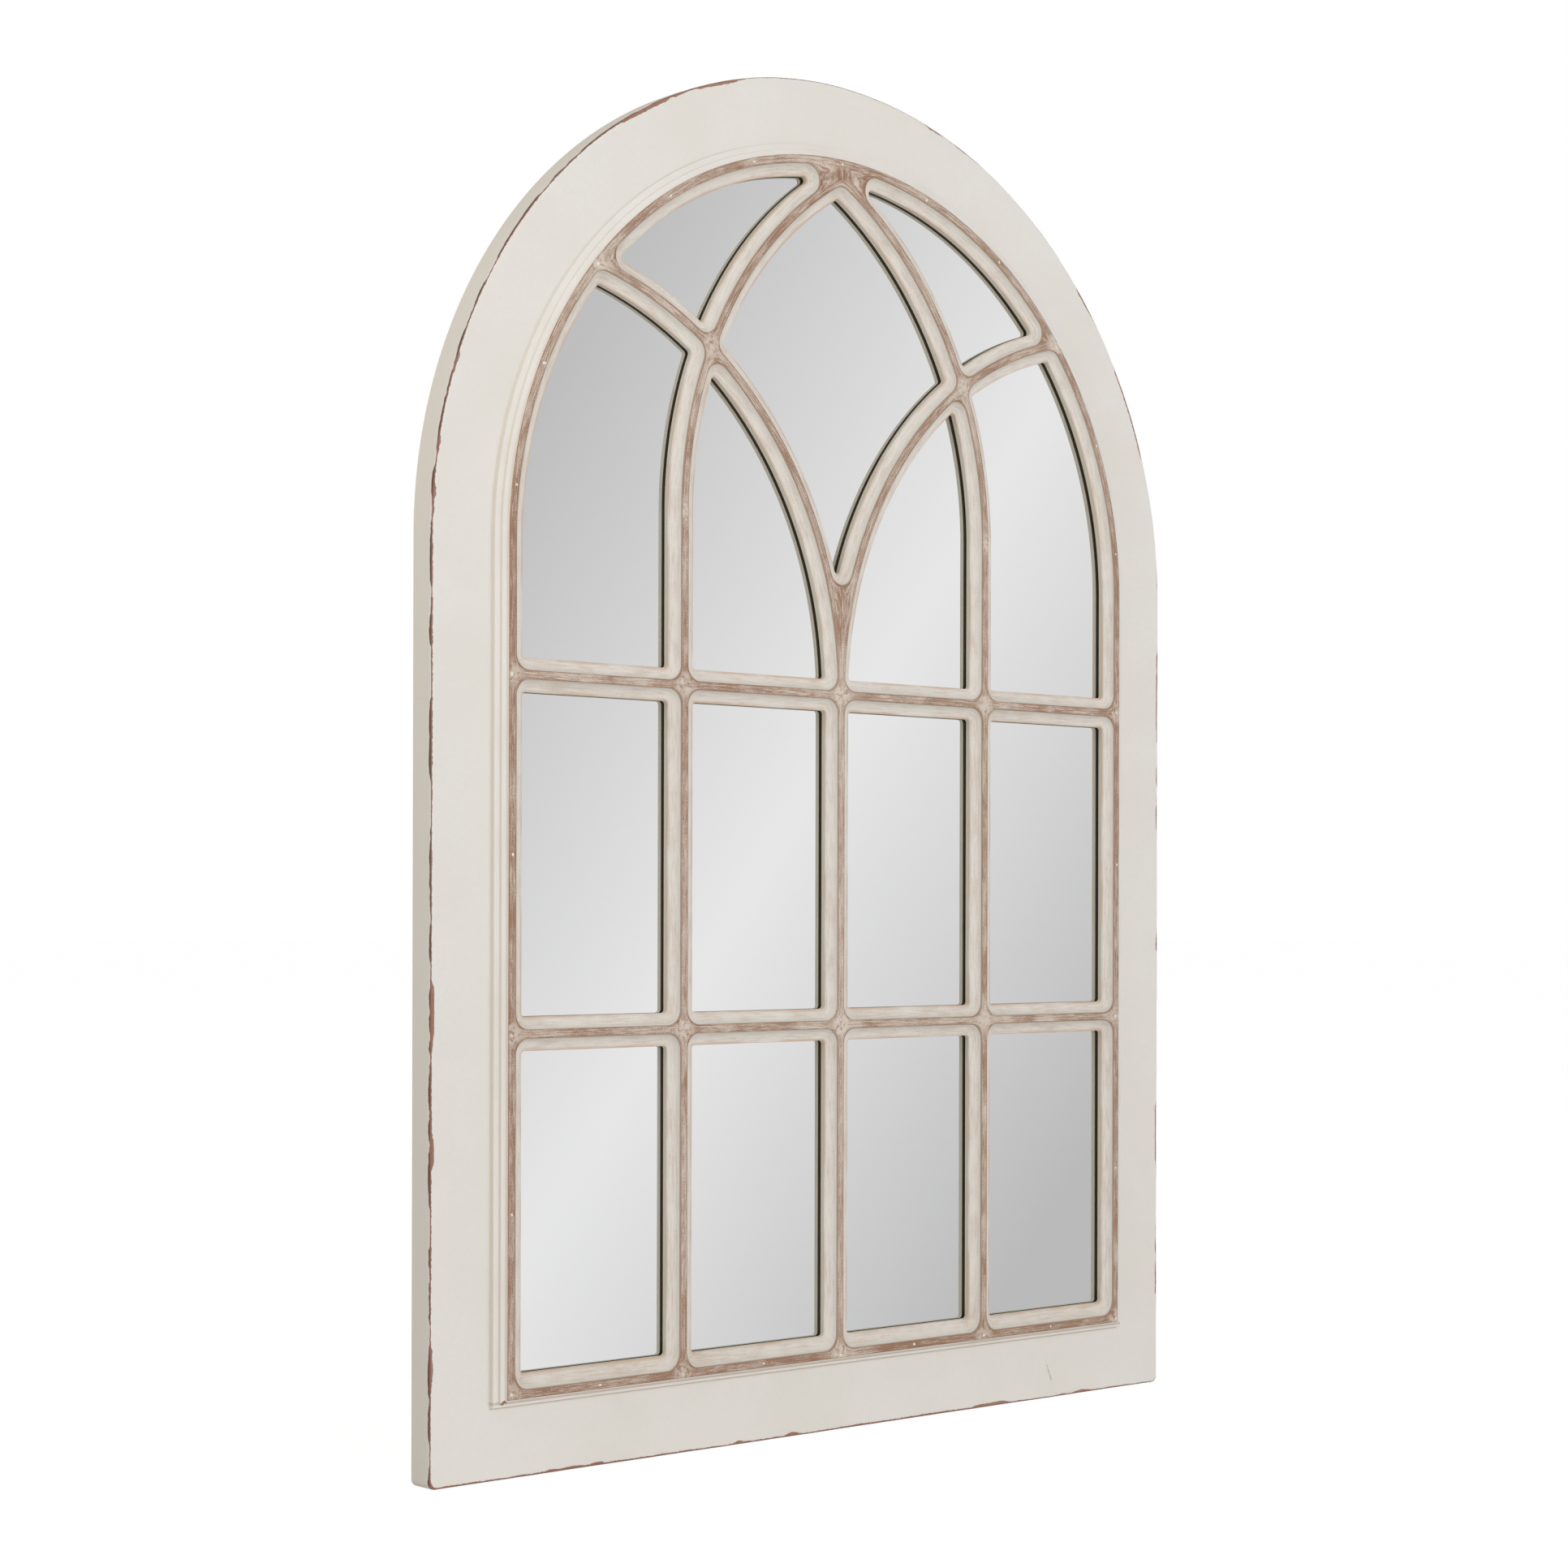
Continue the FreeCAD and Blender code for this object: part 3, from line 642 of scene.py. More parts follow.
class WINDOW_MIRROR_OT_glass(bpy.types.Operator):
    """Builds the silvered sheet: its arched outline stacked at a few depths, with both faces filled"""
    bl_idname = "window_mirror.glass"
    bl_label = "Mirror glass"

    def execute(self, context):
        boards = context.scene.window_mirror.boards
        low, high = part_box("mirror_glass")
        half = high.x
        spring = high.z - half
        arch = half * rays(np.linspace(0, math.pi, GLASS_ROWS)) + (0, spring)
        rim = np.concatenate([[[-half, low.z], [half, low.z]], arch])
        heart = np.array([0, (low.z + high.z) / 2])
        inset = np.array([GLASS_EASE, 0, 0, GLASS_EASE])
        silver = low.y + boards.silver_depth
        y = np.array([silver, silver + GLASS_EASE, high.y - GLASS_EASE, high.y])
        pull = (heart - rim) / np.linalg.norm(heart - rim, axis=1, keepdims=True)
        points = in_space(rim[:, None] + pull[:, None] * inset[:, None], y)
        grid = points, lengths(rim, True), np.arange(len(inset)) * MM
        sheet = put_grids("mirror_glass_silvered", [grid], caps=(0, -1))
        # Silvered float glass is a clean, neutral mirror, its silver a touch uneven over 200 mm
        silvering = two_tone("silvered float glass", linear("#E7E8E8"), linear("#EBEBEA"), (200, 200, 200),
                             Metallic=1.0, Roughness=0.0)
        finish_piece(sheet, silvering, "silvered_glass", "mirror_glass")
        return {"FINISHED"}


def brad_places(lay):
    """XZ places of the brads on the border's crest line: half bays, half rows, equal angles of the head."""
    row = lay.lower_rail - lay.base
    low = [(k * lay.bay / 2, lay.base) for k in range(-4, 5)]
    sides = [(side * lay.crest_half, lay.base + k * row / 2) for side in (-1, 1) for k in (1, 2, 3, 4)]
    angles = np.radians(np.linspace(7, 173, 11))
    head = lay.crest_half * rays(angles) + (0, lay.spring)
    return np.concatenate([low, sides, head])


class WINDOW_MIRROR_OT_fillers(bpy.types.Operator):
    """Builds the dabs of filler over the brad heads, each a low dome with an uneven rim"""
    bl_idname = "window_mirror.fillers"
    bl_label = "Brad fillers"

    def execute(self, context):
        settings = context.scene.window_mirror
        lay = layout(settings.tracery)
        places = brad_places(lay)
        dabs = np.random.default_rng(DAB_SEED)
        places = places + dabs.normal(0, DAB_STRAY, places.shape)
        turn = np.arange(DAB_SIDES) * (2 * math.pi / DAB_SIDES)
        share, rise = np.array([(0, 1), (0.45, 0.9), (0.8, 0.6), (1, 0), (1, -4)]).T
        size = dabs.uniform(*DAB_RADII, (len(places), 1, 1))
        wobble = 1 + DAB_WOBBLE * np.sin(2 * turn + dabs.uniform(0, 6, (len(places), 1)))[:, :, None]
        reach = size * wobble * share
        flat = places[:, None, None] + reach[..., None] * rays(turn)[:, None]
        points = in_space(flat, lay.front - rise * settings.tracery.filler_rise)
        piece = put_grids("brad_fillers", [plain(dab) for dab in points], caps=(-1,))
        # Filler is pale and matt, some dabs stained, so the tone changes every 20 mm
        filler = two_tone("wood filler", settings.colours.filler, settings.colours.crest_light, (20, 20, 20),
                          (0.3, 0.7, 0.0, 0.6), Roughness=0.7)
        finish_piece(piece, filler, "washed_panel")
        return {"FINISHED"}


def screw_grid(head_radius, head_height, shank_radius, shank_length):
    """Pan-head screw about +Y from its seat: a profile turned about the axis, its dome cut by a cross recess.

    The recess is as deep as the lesser of two smooth walls: one across each arm, one at the arm's end.
    """
    turn = np.arange(SCREW_SIDES)[:, None] * (2 * math.pi / SCREW_SIDES)
    share = np.concatenate([np.linspace(0, 0.75, DOME_ROWS), [0.86, 0.95, 1, 1, 1]])
    top = head_height * np.concatenate([1 - 0.25 * share[:DOME_ROWS] ** 2, [0.78, 0.62, 0.4, 0.1, 0]])
    reach = np.concatenate([head_radius * share, [shank_radius, shank_radius, shank_radius / 2, 0]])
    y = np.concatenate([top, [0, -shank_length + shank_radius, -shank_length, -shank_length]])
    x, z = reach * np.cos(turn), reach * np.sin(turn)
    near, far = np.minimum(abs(x), abs(z)), np.maximum(abs(x), abs(z))
    width, arm, deep = 0.14 * head_radius, 0.62 * head_radius, 0.55 * head_height
    wall = np.clip((width - near) / (0.06 * head_radius) + 0.5, 0, 1)
    end = np.clip((arm - far) / (0.12 * head_radius) + 0.5, 0, 1)
    cut = wall * end * (np.arange(len(y)) < DOME_ROWS) * deep
    return np.stack([x, y - cut, z], -1)


class WINDOW_MIRROR_OT_screws(bpy.types.Operator):
    """Builds the screws of the backing board and the hangers where the CAD screws stand"""
    bl_idname = "window_mirror.screws"
    bl_label = "Screws"

    def execute(self, context):
        steel = zinc_plate()
        for node in ("backing_screws", "hanger_screws_left", "hanger_screws_right"):
            points = np.array([v.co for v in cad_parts[node].data.vertices])
            groups = cluster(points)
            if not groups:
                raise RuntimeError(f"no screws found in {node}")
            grids = []
            for group in groups:
                low, high = group.min(0), group.max(0)
                radius = (high[0] - low[0]) / 2
                head = radius * 0.6
                seat = np.array([(low[0] + high[0]) / 2, high[1] - head, (low[2] + high[2]) / 2])
                grids.append(plain(seat + screw_grid(radius, head, radius / 2, seat[1] - low[1])))
            finish_piece(put_grids(node + "_driven", grids), steel, "zinc_steel", node)
        return {"FINISHED"}


def cluster(points):
    """Groups of points, each within a gap of its first point in the XZ plane."""
    flat = points[:, [0, 2]]
    groups = []
    left = np.ones(len(points), bool)
    while left.any():
        first = flat[np.argmax(left)]
        near = left & (np.linalg.norm(flat - first, axis=1) < SCREW_GAP)
        groups.append(points[near])
        left &= ~near
    return groups


# Materials

def add_node(tree, kind, inputs=(), output=0, **settings):
    """Adds a node with its settings and links, and returns one of its outputs.

    Inputs come in the order of the sockets in use, or by name. One that is a socket is linked, and any other
    value is set.
    """
    node = tree.nodes.new("ShaderNode" + kind)
    for key, value in {**USUAL_SETTINGS.get(kind, {}), **settings}.items():
        setattr(node, key, value)
    used, results = ([socket for socket in side if socket.enabled] for side in (node.inputs, node.outputs))
    for key, value in (inputs.items() if isinstance(inputs, dict) else zip(used, inputs)):
        socket = node.inputs[key] if isinstance(key, str) else key
        if isinstance(value, bpy.types.NodeSocket):
            tree.links.new(value, socket)
        else:
            socket.default_value = value
    if results:
        return node.outputs[output] if isinstance(output, str) else results[output]


def blank_material(name):
    """New material with an empty node tree, and the function that adds a node to that tree."""
    material = bpy.data.materials.new(name)
    material.use_nodes = True
    material.node_tree.nodes.clear()
    return material, partial(add_node, material.node_tree)


def milk_paint(colours, lay):
    """Matt milk paint on fibreboard, rubbed through along the front edge.

    It is chalky and faintly blotched, brown at the edge, and bare behind.
    """
    material, add = blank_material("milk paint on fibreboard")
    place = add("TexCoord", output="Object")
    across = add("SeparateXYZ", [add("UVMap", uv_map="run")], 1)
    normal = add("NewGeometry", output="Normal")
    # Widths in mm and details of the noises: paint, rubbed edge, rear fibres and roller grain
    blotch, speck, ragged, patch, crumb, grain, fibre, skin = (
        add("TexNoise", {"Vector": place, "Scale": PER_MM / width, "Detail": detail})
        for width, detail in ((70, 4), (3.5, 2), (25, 5), (55, 3), (2.2, 3), (4, 4), (1.5, 3), (1.2, 3)))
    blotch = add("MapRange", [blotch, 0.35, 0.7, 0.0, 0.45])
    speck = add("MapRange", [speck, 0.3, 0.75, 0.0, 0.22])
    # Stain and painted shade lie in a line along the foot of the panel, in the corner where it meets the
    # board
    from_foot = add("VectorMath", [place, (0.0, 0.0, lay.foot)], operation="SUBTRACT")
    from_foot = add("VectorMath", [from_foot], operation="ABSOLUTE")
    beside = add("MapRange", [add("SeparateXYZ", [from_foot]), lay.panel_half + 0.3 * MM, lay.panel_half])
    stained = add("MapRange", [add("SeparateXYZ", [from_foot], 2), 1.5 * MM, 1.1 * MM, 0.0, 0.5])
    stained = add("Math", [stained, beside], operation="MULTIPLY")
    # One scuff on the bottom rail, 22 mm by 2 mm
    middle = (230 * MM, lay.face, lay.bottom + 19 * MM)
    scuff = add("Mapping", [place, middle, (0.0, math.radians(-22), 0.0), (1.0 * MM, 1.0, 11 * MM)],
                vector_type="TEXTURE")
    scuff = add("VectorMath", [scuff], operation="LENGTH")
    scuff = add("Math", [speck, 3.0, scuff], operation="MULTIPLY_ADD")
    scuff = add("MapRange", [scuff, 1.5, 0.7, 0.0, 0.42])
    # Rubbed edge: a strip with a ragged border on the side, and a thin line on the face, wider at the foot
    side_limit = add("MapRange", [ragged, 0.40, 0.62, -0.5 * MM, -2.4 * MM])
    patch = add("MapRange", [patch, 0.52, 0.62, 0.3 * MM, 2.2 * MM])
    crumb = add("MapRange", [crumb, 0.3, 0.7, -0.2 * MM, 0.2 * MM])
    foot = add("SeparateXYZ", [place], 2)
    foot = add("MapRange", [foot, lay.bottom + 6 * MM, lay.bottom + 4 * MM, 0.0, 0.6 * MM])
    face_limit = add("Math", [patch, crumb], operation="ADD")
    face_limit = add("Math", [face_limit, foot], operation="ADD")
    on_face = add("Math", [face_limit, across], operation="SUBTRACT")
    on_face = add("MapRange", [on_face, -0.08 * MM, 0.12 * MM])
    off_side = add("Math", [across, side_limit], operation="SUBTRACT")
    on_side = add("MapRange", [off_side, -0.1 * MM, 0.1 * MM])
    rubbed = add("Math", [on_face, on_side], operation="MULTIPLY")
    inner = add("MapRange", [across, 0.2 * MM, 1.1 * MM])
    grain = add("Math", [add("MapRange", [grain, 0.3, 0.7]), inner], operation="MULTIPLY")
    bare = add("Mix", [grain, colours.bare_edge, colours.bare_patch])
    # The strip is darker on the side, though not on faces that look down, under the bottom rail
    lined = add("MapRange", [across, -0.2 * MM, -0.8 * MM, 0.0, 0.9])
    level = add("MapRange", [add("SeparateXYZ", [normal], 2), -0.5, -0.2])
    lined = add("Math", [lined, level], operation="MULTIPLY")
    bare = add("Mix", [lined, bare, colours.edge_line])
    # Glaze and painted shade on the side stop short of the rubbed strip, where the paint shows as a pale line
    glaze_shade_share = add("MapRange", [off_side, -0.5 * MM, -1.6 * MM, 0.0, 0.6])
    # Rear face: bare board
    behind = add("MapRange", [add("SeparateXYZ", [normal], 1), 0.72, 0.78])
    fibre = add("MapRange", [fibre, 0.3, 0.7, 0.0, 0.35])
    board = add("Mix", [fibre, colours.fibreboard, colours.bare_edge])
    colour = colours.cream
    for share, layer in ((blotch, colours.cream_warm), (speck, colours.cream_warm),
                         (stained, colours.wash_brown), (scuff, colours.bare_patch),
                         (glaze_shade_share, colours.side_glaze_and_shade), (rubbed, bare), (behind, board)):
        colour = add("Mix", [share, colour, layer])
    # The skin steps down where the paint is gone
    skin = add("Math", [skin, rubbed], operation="SUBTRACT")
    relief = add("Bump", {"Height": skin, "Distance": 0.12 * MM})
    surface = add("BsdfPrincipled", {"Base Color": colour, "Normal": relief, "Roughness": 0.6, "IOR": 1.45})
    add("OutputMaterial", [surface])
    return material


def washed_fibreboard(colours, lay, tracery):
    """Routed fibreboard, stained brown, washed white and rubbed.

    The crests are brown and streaky, the coves chalky, and the small steps beside the crests dark.
    """
    material, add = blank_material("white-washed fibreboard")
    place = add("TexCoord", output="Object")
    off_middle = add("Math", [add("SeparateXYZ", [place])], operation="ABSOLUTE")
    height = add("SeparateXYZ", [place], 2)
    uv = add("UVMap", uv_map="run")
    across = add("SeparateXYZ", [uv], 1)
    reach = add("Math", [across], operation="ABSOLUTE")
    crossing = add("Attribute", output="Fac", attribute_name="crossing")
    normal = add("NewGeometry", output="Normal")
    facing = add("SeparateXYZ", [normal], 1)
    half = tracery.crest_width / 2
    section, drop = flank_section(tracery)
    wall = half + float(np.sum(np.hypot(np.diff(section), np.diff(drop))))
    # Lengths and widths in mm and details of the streaks: two of wash on the crests, one of stain in coves
    streaks = []
    for length, width, detail in ((40, 0.8, 2), (10, 0.5, 2), (17, 1.4, 3)):
        run = add("VectorMath", [uv, (PER_MM / length, PER_MM / width, 1.0)], operation="MULTIPLY")
        streaks.append(add("TexNoise", {"Vector": run, "Scale": 1.0, "Detail": detail, "Roughness": 0.6}))
    streak, scratch, cove = streaks
    # Widths in mm, details and distortions of the noises: wash, fibres, wisps, rust along the glass and paint
    patch, fibre, haze, rust, blotch = (
        add("TexNoise", {"Vector": place, "Scale": PER_MM / width, "Detail": detail, "Distortion": twist})
        for width, detail, twist in ((24, 3, 0), (0.9, 2, 0), (3, 3, 0.5), (45, 3, 0), (50, 3, 0)))
    washed = thin = 0.0
    for share, weight in ((streak, 0.42), (scratch, 0.42), (patch, 0.28), (fibre, 0.31)):
        washed = add("Math", [share, weight, washed], operation="MULTIPLY_ADD")
    for share, weight in ((cove, 0.5), (fibre, 0.2), (patch, 0.3)):
        thin = add("Math", [share, weight, thin], operation="MULTIPLY_ADD")
    # Wisps lie over the crossings, and the crest's rims are rubbed
    washed = add("MapRange", [washed, 0.60, 0.86])
    near_node = add("MapRange", [crossing, 14 * MM, 4 * MM])
    haze = add("MapRange", [haze, 0.28, 0.57, 0.0, 0.95])
    haze = add("Math", [near_node, haze], operation="MULTIPLY")
    washed = add("Math", [washed, haze], operation="MAXIMUM")
    rim = add("MapRange", [reach, 0.72 * half, 0.98 * half, 0.0, 0.5])
    washed = add("Math", [washed, rim], operation="SUBTRACT", use_clamp=True)
    # Less wash is left on the sides and bottom of the border, and more on the middle mullion
    amid = add("MapRange", [off_middle, 30 * MM, 12 * MM, 0.0, 0.2])
    amid_low = add("MapRange", [height, lay.upper_rail + 60 * MM, lay.upper_rail + 10 * MM])
    washed = add("Math", [amid, amid_low, washed], operation="MULTIPLY_ADD")
    aside = add("MapRange", [off_middle, lay.crest_half - 12 * MM, lay.crest_half - 5 * MM, 0.0, 0.15])
    low = add("MapRange", [height, lay.base + 24 * MM, lay.base + 12 * MM, 0.0, 0.2])
    rubbed = add("Math", [aside, low], operation="MAXIMUM")
    washed = add("Math", [washed, rubbed], operation="SUBTRACT", use_clamp=True)
    crest = add("Mix", [washed, colours.crest_dark, colours.crest_light])
    # Coves: stain shows through, rust lies along the glass, the walls are greenish with a painted reflection
    # of the glass beside them, and the top is greyer, with a dark quirk
    thin = add("MapRange", [thin, 0.42, 0.66, 0.0, 0.5])
    shown = add("Math", [patch, low, thin], operation="MULTIPLY_ADD", use_clamp=True)
    by_glass, glass_reflection_share, high, quirk, off_crest = (add("MapRange", [reach, *ends]) for ends in (
        (wall - 2.8 * MM, wall - 0.2 * MM), (wall, wall + 0.5 * MM, 0.0, 0.9),
        (half + 4.5 * MM, half + 0.9 * MM, 0.0, 0.6), (half + 1.3 * MM, half + 0.9 * MM, 0.0, 0.6),
        (half - 0.05 * MM, half + 0.15 * MM)))
    rust = add("MapRange", [rust, 0.35, 0.6, 0.15, 0.9])
    by_glass = add("Math", [by_glass, rust], operation="MULTIPLY")
    flank = colours.wash
    for share, layer in ((shown, colours.wash_brown), (by_glass, colours.wash_rust),
                         (glass_reflection_share, colours.wall_wash_and_reflection), (high, colours.wash_grey), (quirk, colours.crest_dark)):
        flank = add("Mix", [share, flank, layer])
    # Stepped edge: the boards' paint, glaze and painted shade on the risers, less where they look up, which
    # is painted light from above, and a line of stain and painted shade under the upper step of the bottom
    # edge
    blotch = add("MapRange", [blotch, 0.35, 0.7, 0.0, 0.7])
    upright = add("MapRange", [facing, -0.9, -0.3, 0.0, 0.8])
    painted_top_light = add("MapRange", [add("SeparateXYZ", [normal], 2), 0.1, 0.6, 1.0, 0.35])
    upright = add("Math", [upright, painted_top_light], operation="MULTIPLY")
    foot = add("Math", [height, lay.base - half - tracery.bottom_high_step], operation="SUBTRACT")
    foot = add("MapRange", [add("Math", [foot], operation="ABSOLUTE"), 1.1 * MM, 0.8 * MM, 0.0, 0.5])
    steps = colours.cream
    for share, layer in ((blotch, colours.cream_warm), (upright, colours.side_glaze_and_shade),
                         (foot, colours.wash_brown)):
        steps = add("Mix", [share, steps, layer])
    painted = add("MapRange", [across, -half - 0.05 * MM, -half - 0.3 * MM])
    # One knock at the lower left corner, 4 mm across
    knock = (-lay.crest_half - 4.0 * MM, lay.front + 3.4 * MM, lay.base - 5.1 * MM)
    knocked = add("VectorMath", [place, knock], operation="DISTANCE")
    knocked = add("Math", [fibre, 1.6 * MM, knocked], operation="MULTIPLY_ADD")
    knocked = add("MapRange", [knocked, 3.2 * MM, 2.6 * MM])
    behind = add("MapRange", [facing, 0.4, 0.7])
    colour = crest
    for share, layer in ((off_crest, flank), (painted, steps), (knocked, colours.bare_edge),
                         (behind, colours.fibreboard)):
        colour = add("Mix", [share, colour, layer])
    rough_wash = add("Math", [streak, fibre], operation="ADD")
    relief = add("Bump", {"Height": rough_wash, "Distance": 0.10 * MM})
    surface = add("BsdfPrincipled", {"Base Color": colour, "Normal": relief, "Roughness": 0.62, "IOR": 1.45})
    add("OutputMaterial", [surface])
    return material


def zinc_plate():
    """Bright zinc plate on steel: grey metal with a faint cloudy sheen, its clouds 6 mm wide."""
    material, add = blank_material("zinc-plated steel")
    place = add("TexCoord", output="Object")
    cloud = add("TexNoise", {"Vector": place, "Scale": PER_MM / 6, "Detail": 4.0})
    tone = add("Mix", [cloud, linear("#B9BABB"), linear("#D2D3D0")])
    dull = add("MapRange", [cloud, 0.3, 0.7, 0.24, 0.42])
    surface = add("BsdfPrincipled", {"Base Color": tone, "Roughness": dull, "Metallic": 1.0})
    add("OutputMaterial", [surface])
    return material


def pressed_hardboard(colours):
    """Smooth side of hardboard: brown, felted from fibres 2 mm long, clouded over 90 mm."""
    material, add = blank_material("hardboard")
    place = add("TexCoord", output="Object")
    fibre = add("TexNoise", {"Vector": place, "Scale": PER_MM / 2, "Detail": 5.0, "Roughness": 0.65})
    cloud = add("TexNoise", {"Vector": place, "Scale": PER_MM / 90, "Detail": 3.0})
    tone = add("Mix", [0.4, fibre, cloud], data_type="FLOAT")
    tone = add("MapRange", [tone, 0.35, 0.65])
    tone = add("Mix", [tone, linear("#6A4A30"), colours.hardboard])
    relief = add("Bump", {"Height": fibre, "Distance": 0.05 * MM})
    surface = add("BsdfPrincipled", {"Base Color": tone, "Normal": relief, "Roughness": 0.55})
    add("OutputMaterial", [surface])
    return material


def two_tone(name, dark, light, grain_mm, spread=None, detail=2, relief_mm=0.0, **finish):
    """Plain material of two close tones, mixed by a noise whose grain has a size in mm along X, Y and Z.

    spread maps the noise to the share of the second tone. With a relief, the noise also roughens the surface.
    """
    material, add = blank_material(name)
    place = add("TexCoord", output="Object")
    place = add("VectorMath", [place, [PER_MM / size for size in grain_mm]], operation="MULTIPLY")
    grain = add("TexNoise", {"Vector": place, "Scale": 1.0, "Detail": detail})
    share = add("MapRange", [grain, *spread]) if spread else grain
    finish["Base Color"] = add("Mix", [share, dark, light])
    if relief_mm:
        finish["Normal"] = add("Bump", {"Height": grain, "Distance": relief_mm * MM})
    add("OutputMaterial", [add("BsdfPrincipled", finish)])
    return material


class WINDOW_MIRROR_OT_hardware(bpy.types.Operator):
    """Gives the backing board, hangers, bumpers and hidden pieces of the frame their finishes"""
    bl_idname = "window_mirror.hardware"
    bl_label = "Back and hardware"

    def execute(self, context):
        colours = context.scene.window_mirror.colours
        steel = zinc_plate()
        # Moulded rubber is black and dull with a fine grit, 0.8 mm
        rubber = two_tone("moulded rubber", linear("#1C1C1D"), linear("#2A2A2B"), (0.8, 0.8, 0.8),
                          relief_mm=0.05, Roughness=0.75)
        # Closed-cell foam is off-white with small pores, 0.7 mm
        foam = two_tone("closed-cell foam", linear("#CFCFCB"), linear("#E6E6E2"), (0.7, 0.7, 0.7),
                        relief_mm=0.08, Roughness=0.9)
        # Turned beech is pale tan with flecks 7 mm by 1.2 mm along the grain
        beech = two_tone("beech", linear("#C79A6B"), linear("#DDB98C"), (7, 1.2, 1.2),
                         detail=3, Roughness=0.6)
        finishes = {"backing_board": pressed_hardboard(colours), "frame_dowels": beech, "panel_brads": steel,
                    "hanger_strap": steel, "d_ring": steel, "bumper": rubber, "glazing_tape": foam}
        for name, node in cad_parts.items():
            for start, material in finishes.items():
                if name.startswith(start):
                    node.data.materials.clear()
                    node.data.materials.append(material)
        return {"FINISHED"}


# Stage

def studio_world(scene):
    """White to the camera, a soft grey room in reflections with a bright slanted band, and even light."""
    world = bpy.data.worlds.new("studio")
    world.use_nodes = True
    scene.world = world
    world.node_tree.nodes.clear()
    add = partial(add_node, world.node_tree)
    direction = add("TexCoord", output="Generated")
    across_band = (0.637, 0.567, -0.521)
    slant = add("VectorMath", [direction, across_band], operation="DOT_PRODUCT")
    rise = add("MapRange", [slant, -0.152, -0.017, 0.632, 0.970], interpolation_type="LINEAR")
    fall = add("MapRange", [slant, -0.017, 0.125, 0.985, 0.596], interpolation_type="LINEAR")
    band = add("Math", [rise, fall], operation="MINIMUM")
    seen = add("LightPath", output="Is Camera Ray")
    glossy = add("LightPath", output="Is Glossy Ray")
    through = add("LightPath", output="Is Transmission Ray")
    reflected = add("Math", [glossy, through], operation="MAXIMUM")
    even_light = 0.485
    strength = add("Mix", [reflected, even_light, band], data_type="FLOAT")
    strength = add("Mix", [seen, strength, 1.0], data_type="FLOAT")
    ground = add("Background", [(1, 1, 1, 1), strength])
    add("OutputWorld", [ground])


def studio_floor(lay):
    """White floor under the bottom rail that keeps a faint shadow and doesn't show in the glass."""
    size = 30.0
    level = lay.bottom - 0.4 * MM
    mesh = bpy.data.meshes.new("floor")
    corners = [(x * size, y * size, level) for x, y in ((-1, -1), (1, -1), (1, 1), (-1, 1))]
    mesh.from_pydata(corners, [], [(0, 1, 2, 3)])
    floor = bpy.data.objects.new("floor", mesh)
    bpy.context.scene.collection.objects.link(floor)
    material, add = blank_material("white floor")
    matt = add("BsdfDiffuse", [linear("#F7F7F7")])
    glow = add("Emission", [(1, 1, 1, 1), 1.09])
    seen = add("Math", [add("LightPath", output="Is Camera Ray"), 0.85], operation="MULTIPLY")
    add("OutputMaterial", [add("MixShader", [seen, matt, glow])])
    mesh.materials.append(material)
    floor.visible_glossy = False


def soft_lamp(name, location, size, power):
    """Square soft lamp aimed at the middle of the mirror, unseen in the glass."""
    lamp = bpy.data.lights.new(name, "AREA")
    lamp.size = size
    lamp.energy = power
    softbox = bpy.data.objects.new(name, lamp)
    softbox.location = location
    aim = np.array([0.0, 0.0, -0.1]) - np.array(location)
    softbox.rotation_euler = (math.atan2(math.hypot(aim[0], aim[1]), -aim[2]), 0, math.atan2(-aim[0], aim[1]))
    softbox.visible_glossy = False
    bpy.context.scene.collection.objects.link(softbox)


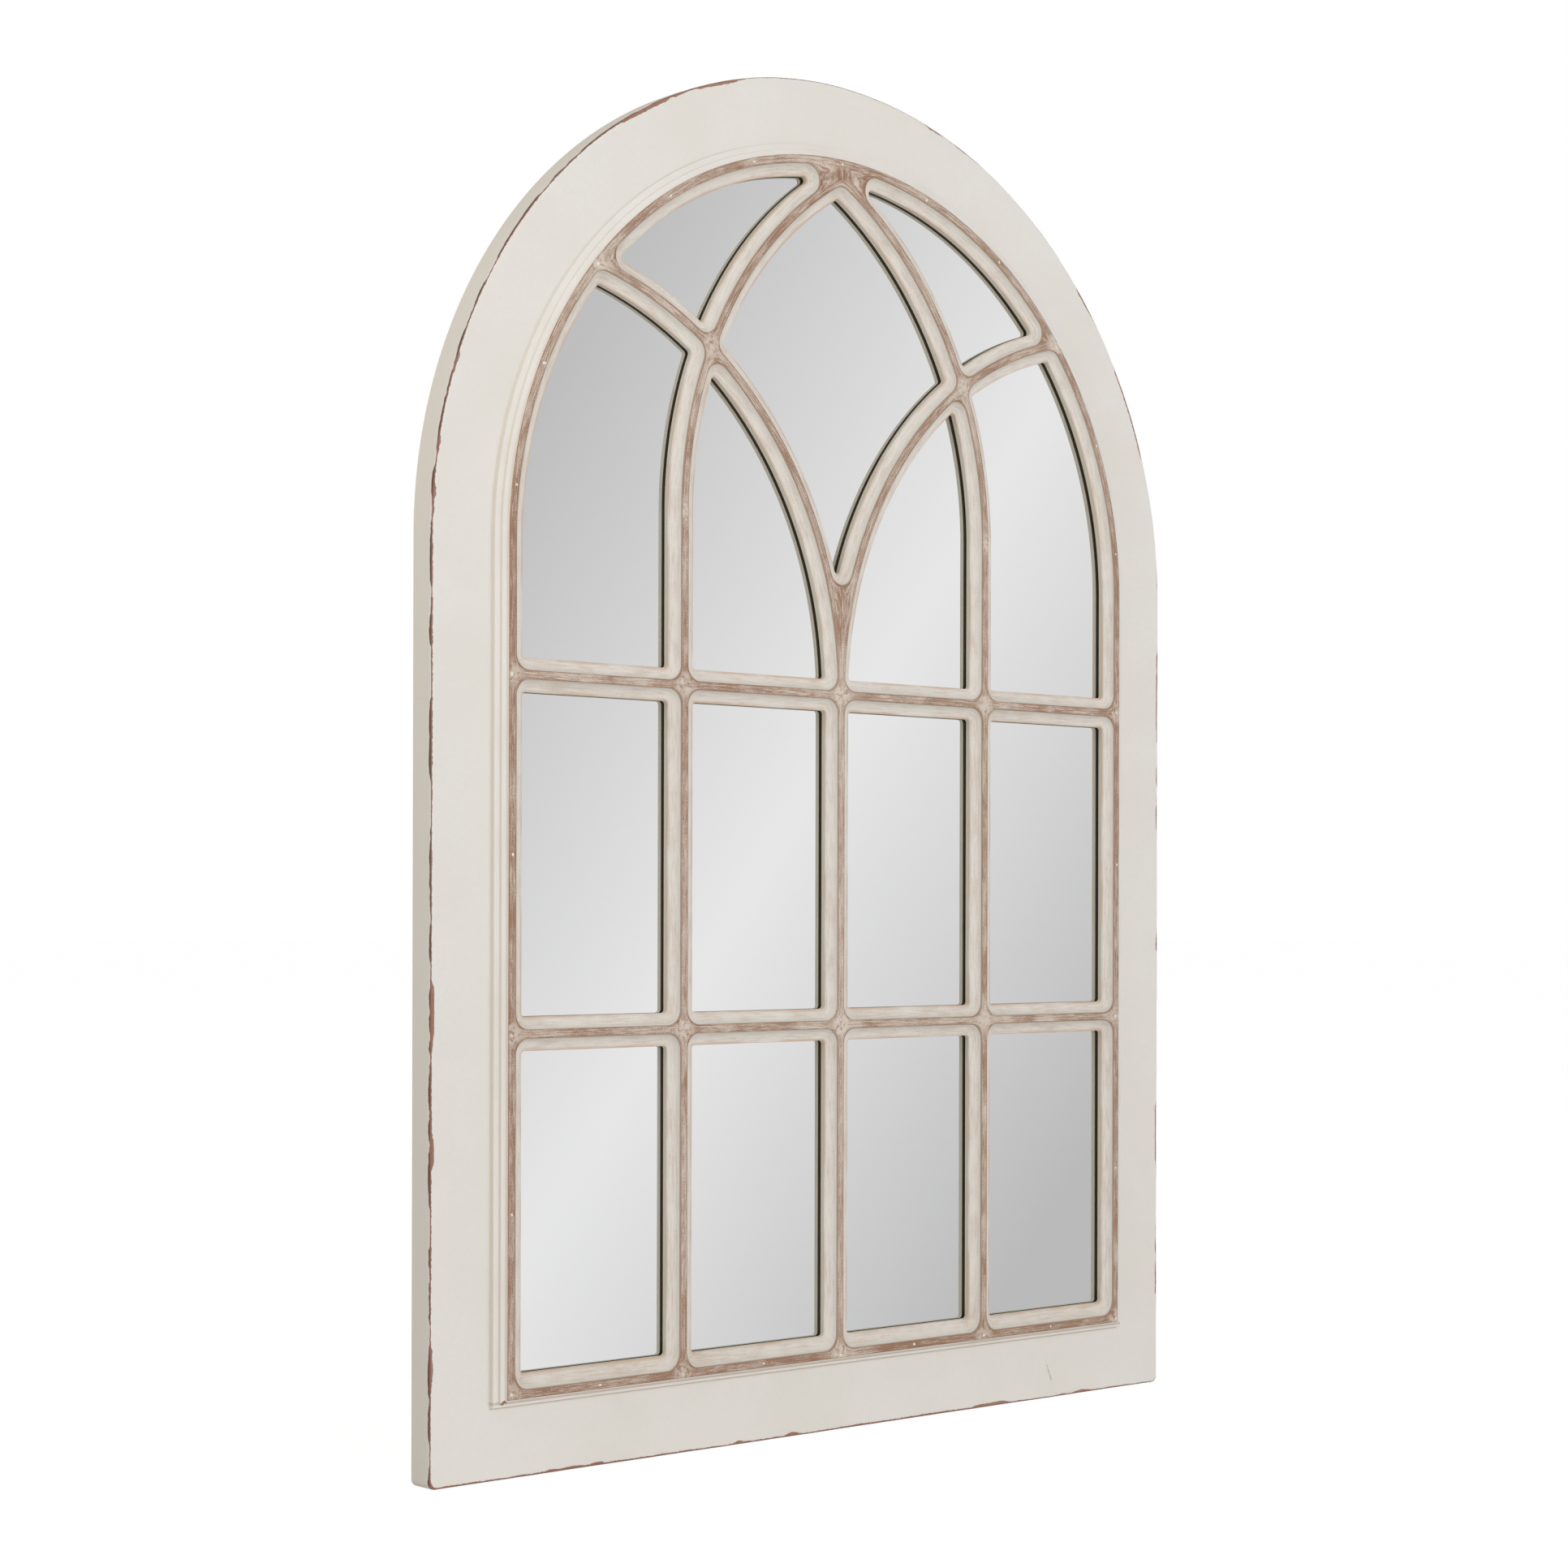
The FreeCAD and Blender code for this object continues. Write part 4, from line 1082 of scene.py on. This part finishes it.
class WINDOW_MIRROR_OT_stage(bpy.types.Operator):
    """Sets the white studio: floor, world, two soft lamps, and the camera of the photograph"""
    bl_idname = "window_mirror.stage"
    bl_label = "Stage"

    def execute(self, context):
        scene = context.scene
        lay = layout(scene.window_mirror.tracery)
        scene.view_settings.view_transform = "Standard"
        studio_world(scene)
        studio_floor(lay)
        soft_lamp("front softbox", (0.1, -4.6, 0.6), 4.0, 129.0)
        soft_lamp("side softbox", (-1.25, -0.2, 0.6), 0.6, 4.3)
        camera = bpy.data.cameras.new("camera")
        camera.sensor_width = 36.0
        camera.lens = 70.02
        camera.shift_y = 0.0810
        camera.clip_start = 0.01
        viewer = bpy.data.objects.new("camera", camera)
        viewer.location = (-1.5048, -1.6676, -0.2121)
        viewer.rotation_euler = (math.radians(90), math.radians(-0.134), math.radians(-41.625))
        scene.collection.objects.link(viewer)
        scene.camera = viewer
        return {"FINISHED"}


class WINDOW_MIRROR_PT_panel(bpy.types.Panel):
    """Sidebar panel with the sizes, colours and steps of the mirror"""
    bl_idname = "WINDOW_MIRROR_PT_panel"
    bl_label = "Window mirror"
    bl_space_type = "VIEW_3D"
    bl_region_type = "UI"
    bl_category = "Window mirror"

    def draw(self, context):
        settings = context.scene.window_mirror
        for group in (settings.tracery, settings.boards, settings.colours):
            box = self.layout.box()
            for key in group.bl_rna.properties.keys():
                if key not in ("rna_type", "name"):
                    box.prop(group, key)
        for step in STEPS:
            self.layout.operator(step.bl_idname)


GROUPS = (TracerySizes, BoardSizes, FinishColours, WindowMirror)
STEPS = (WINDOW_MIRROR_OT_boards, WINDOW_MIRROR_OT_tracery, WINDOW_MIRROR_OT_glass, WINDOW_MIRROR_OT_fillers,
         WINDOW_MIRROR_OT_screws, WINDOW_MIRROR_OT_hardware, WINDOW_MIRROR_OT_stage)
CLASSES = GROUPS + STEPS + (WINDOW_MIRROR_PT_panel,)


def register():
    for cls in CLASSES:
        bpy.utils.register_class(cls)
    bpy.types.Scene.window_mirror = bpy.props.PointerProperty(type=WindowMirror)


def unregister():
    del bpy.types.Scene.window_mirror
    for cls in reversed(CLASSES):
        bpy.utils.unregister_class(cls)


def main():
    register()
    for step in STEPS:
        space, name = step.bl_idname.split(".")
        getattr(getattr(bpy.ops, space), name)()


if __name__ == "__main__":
    main()
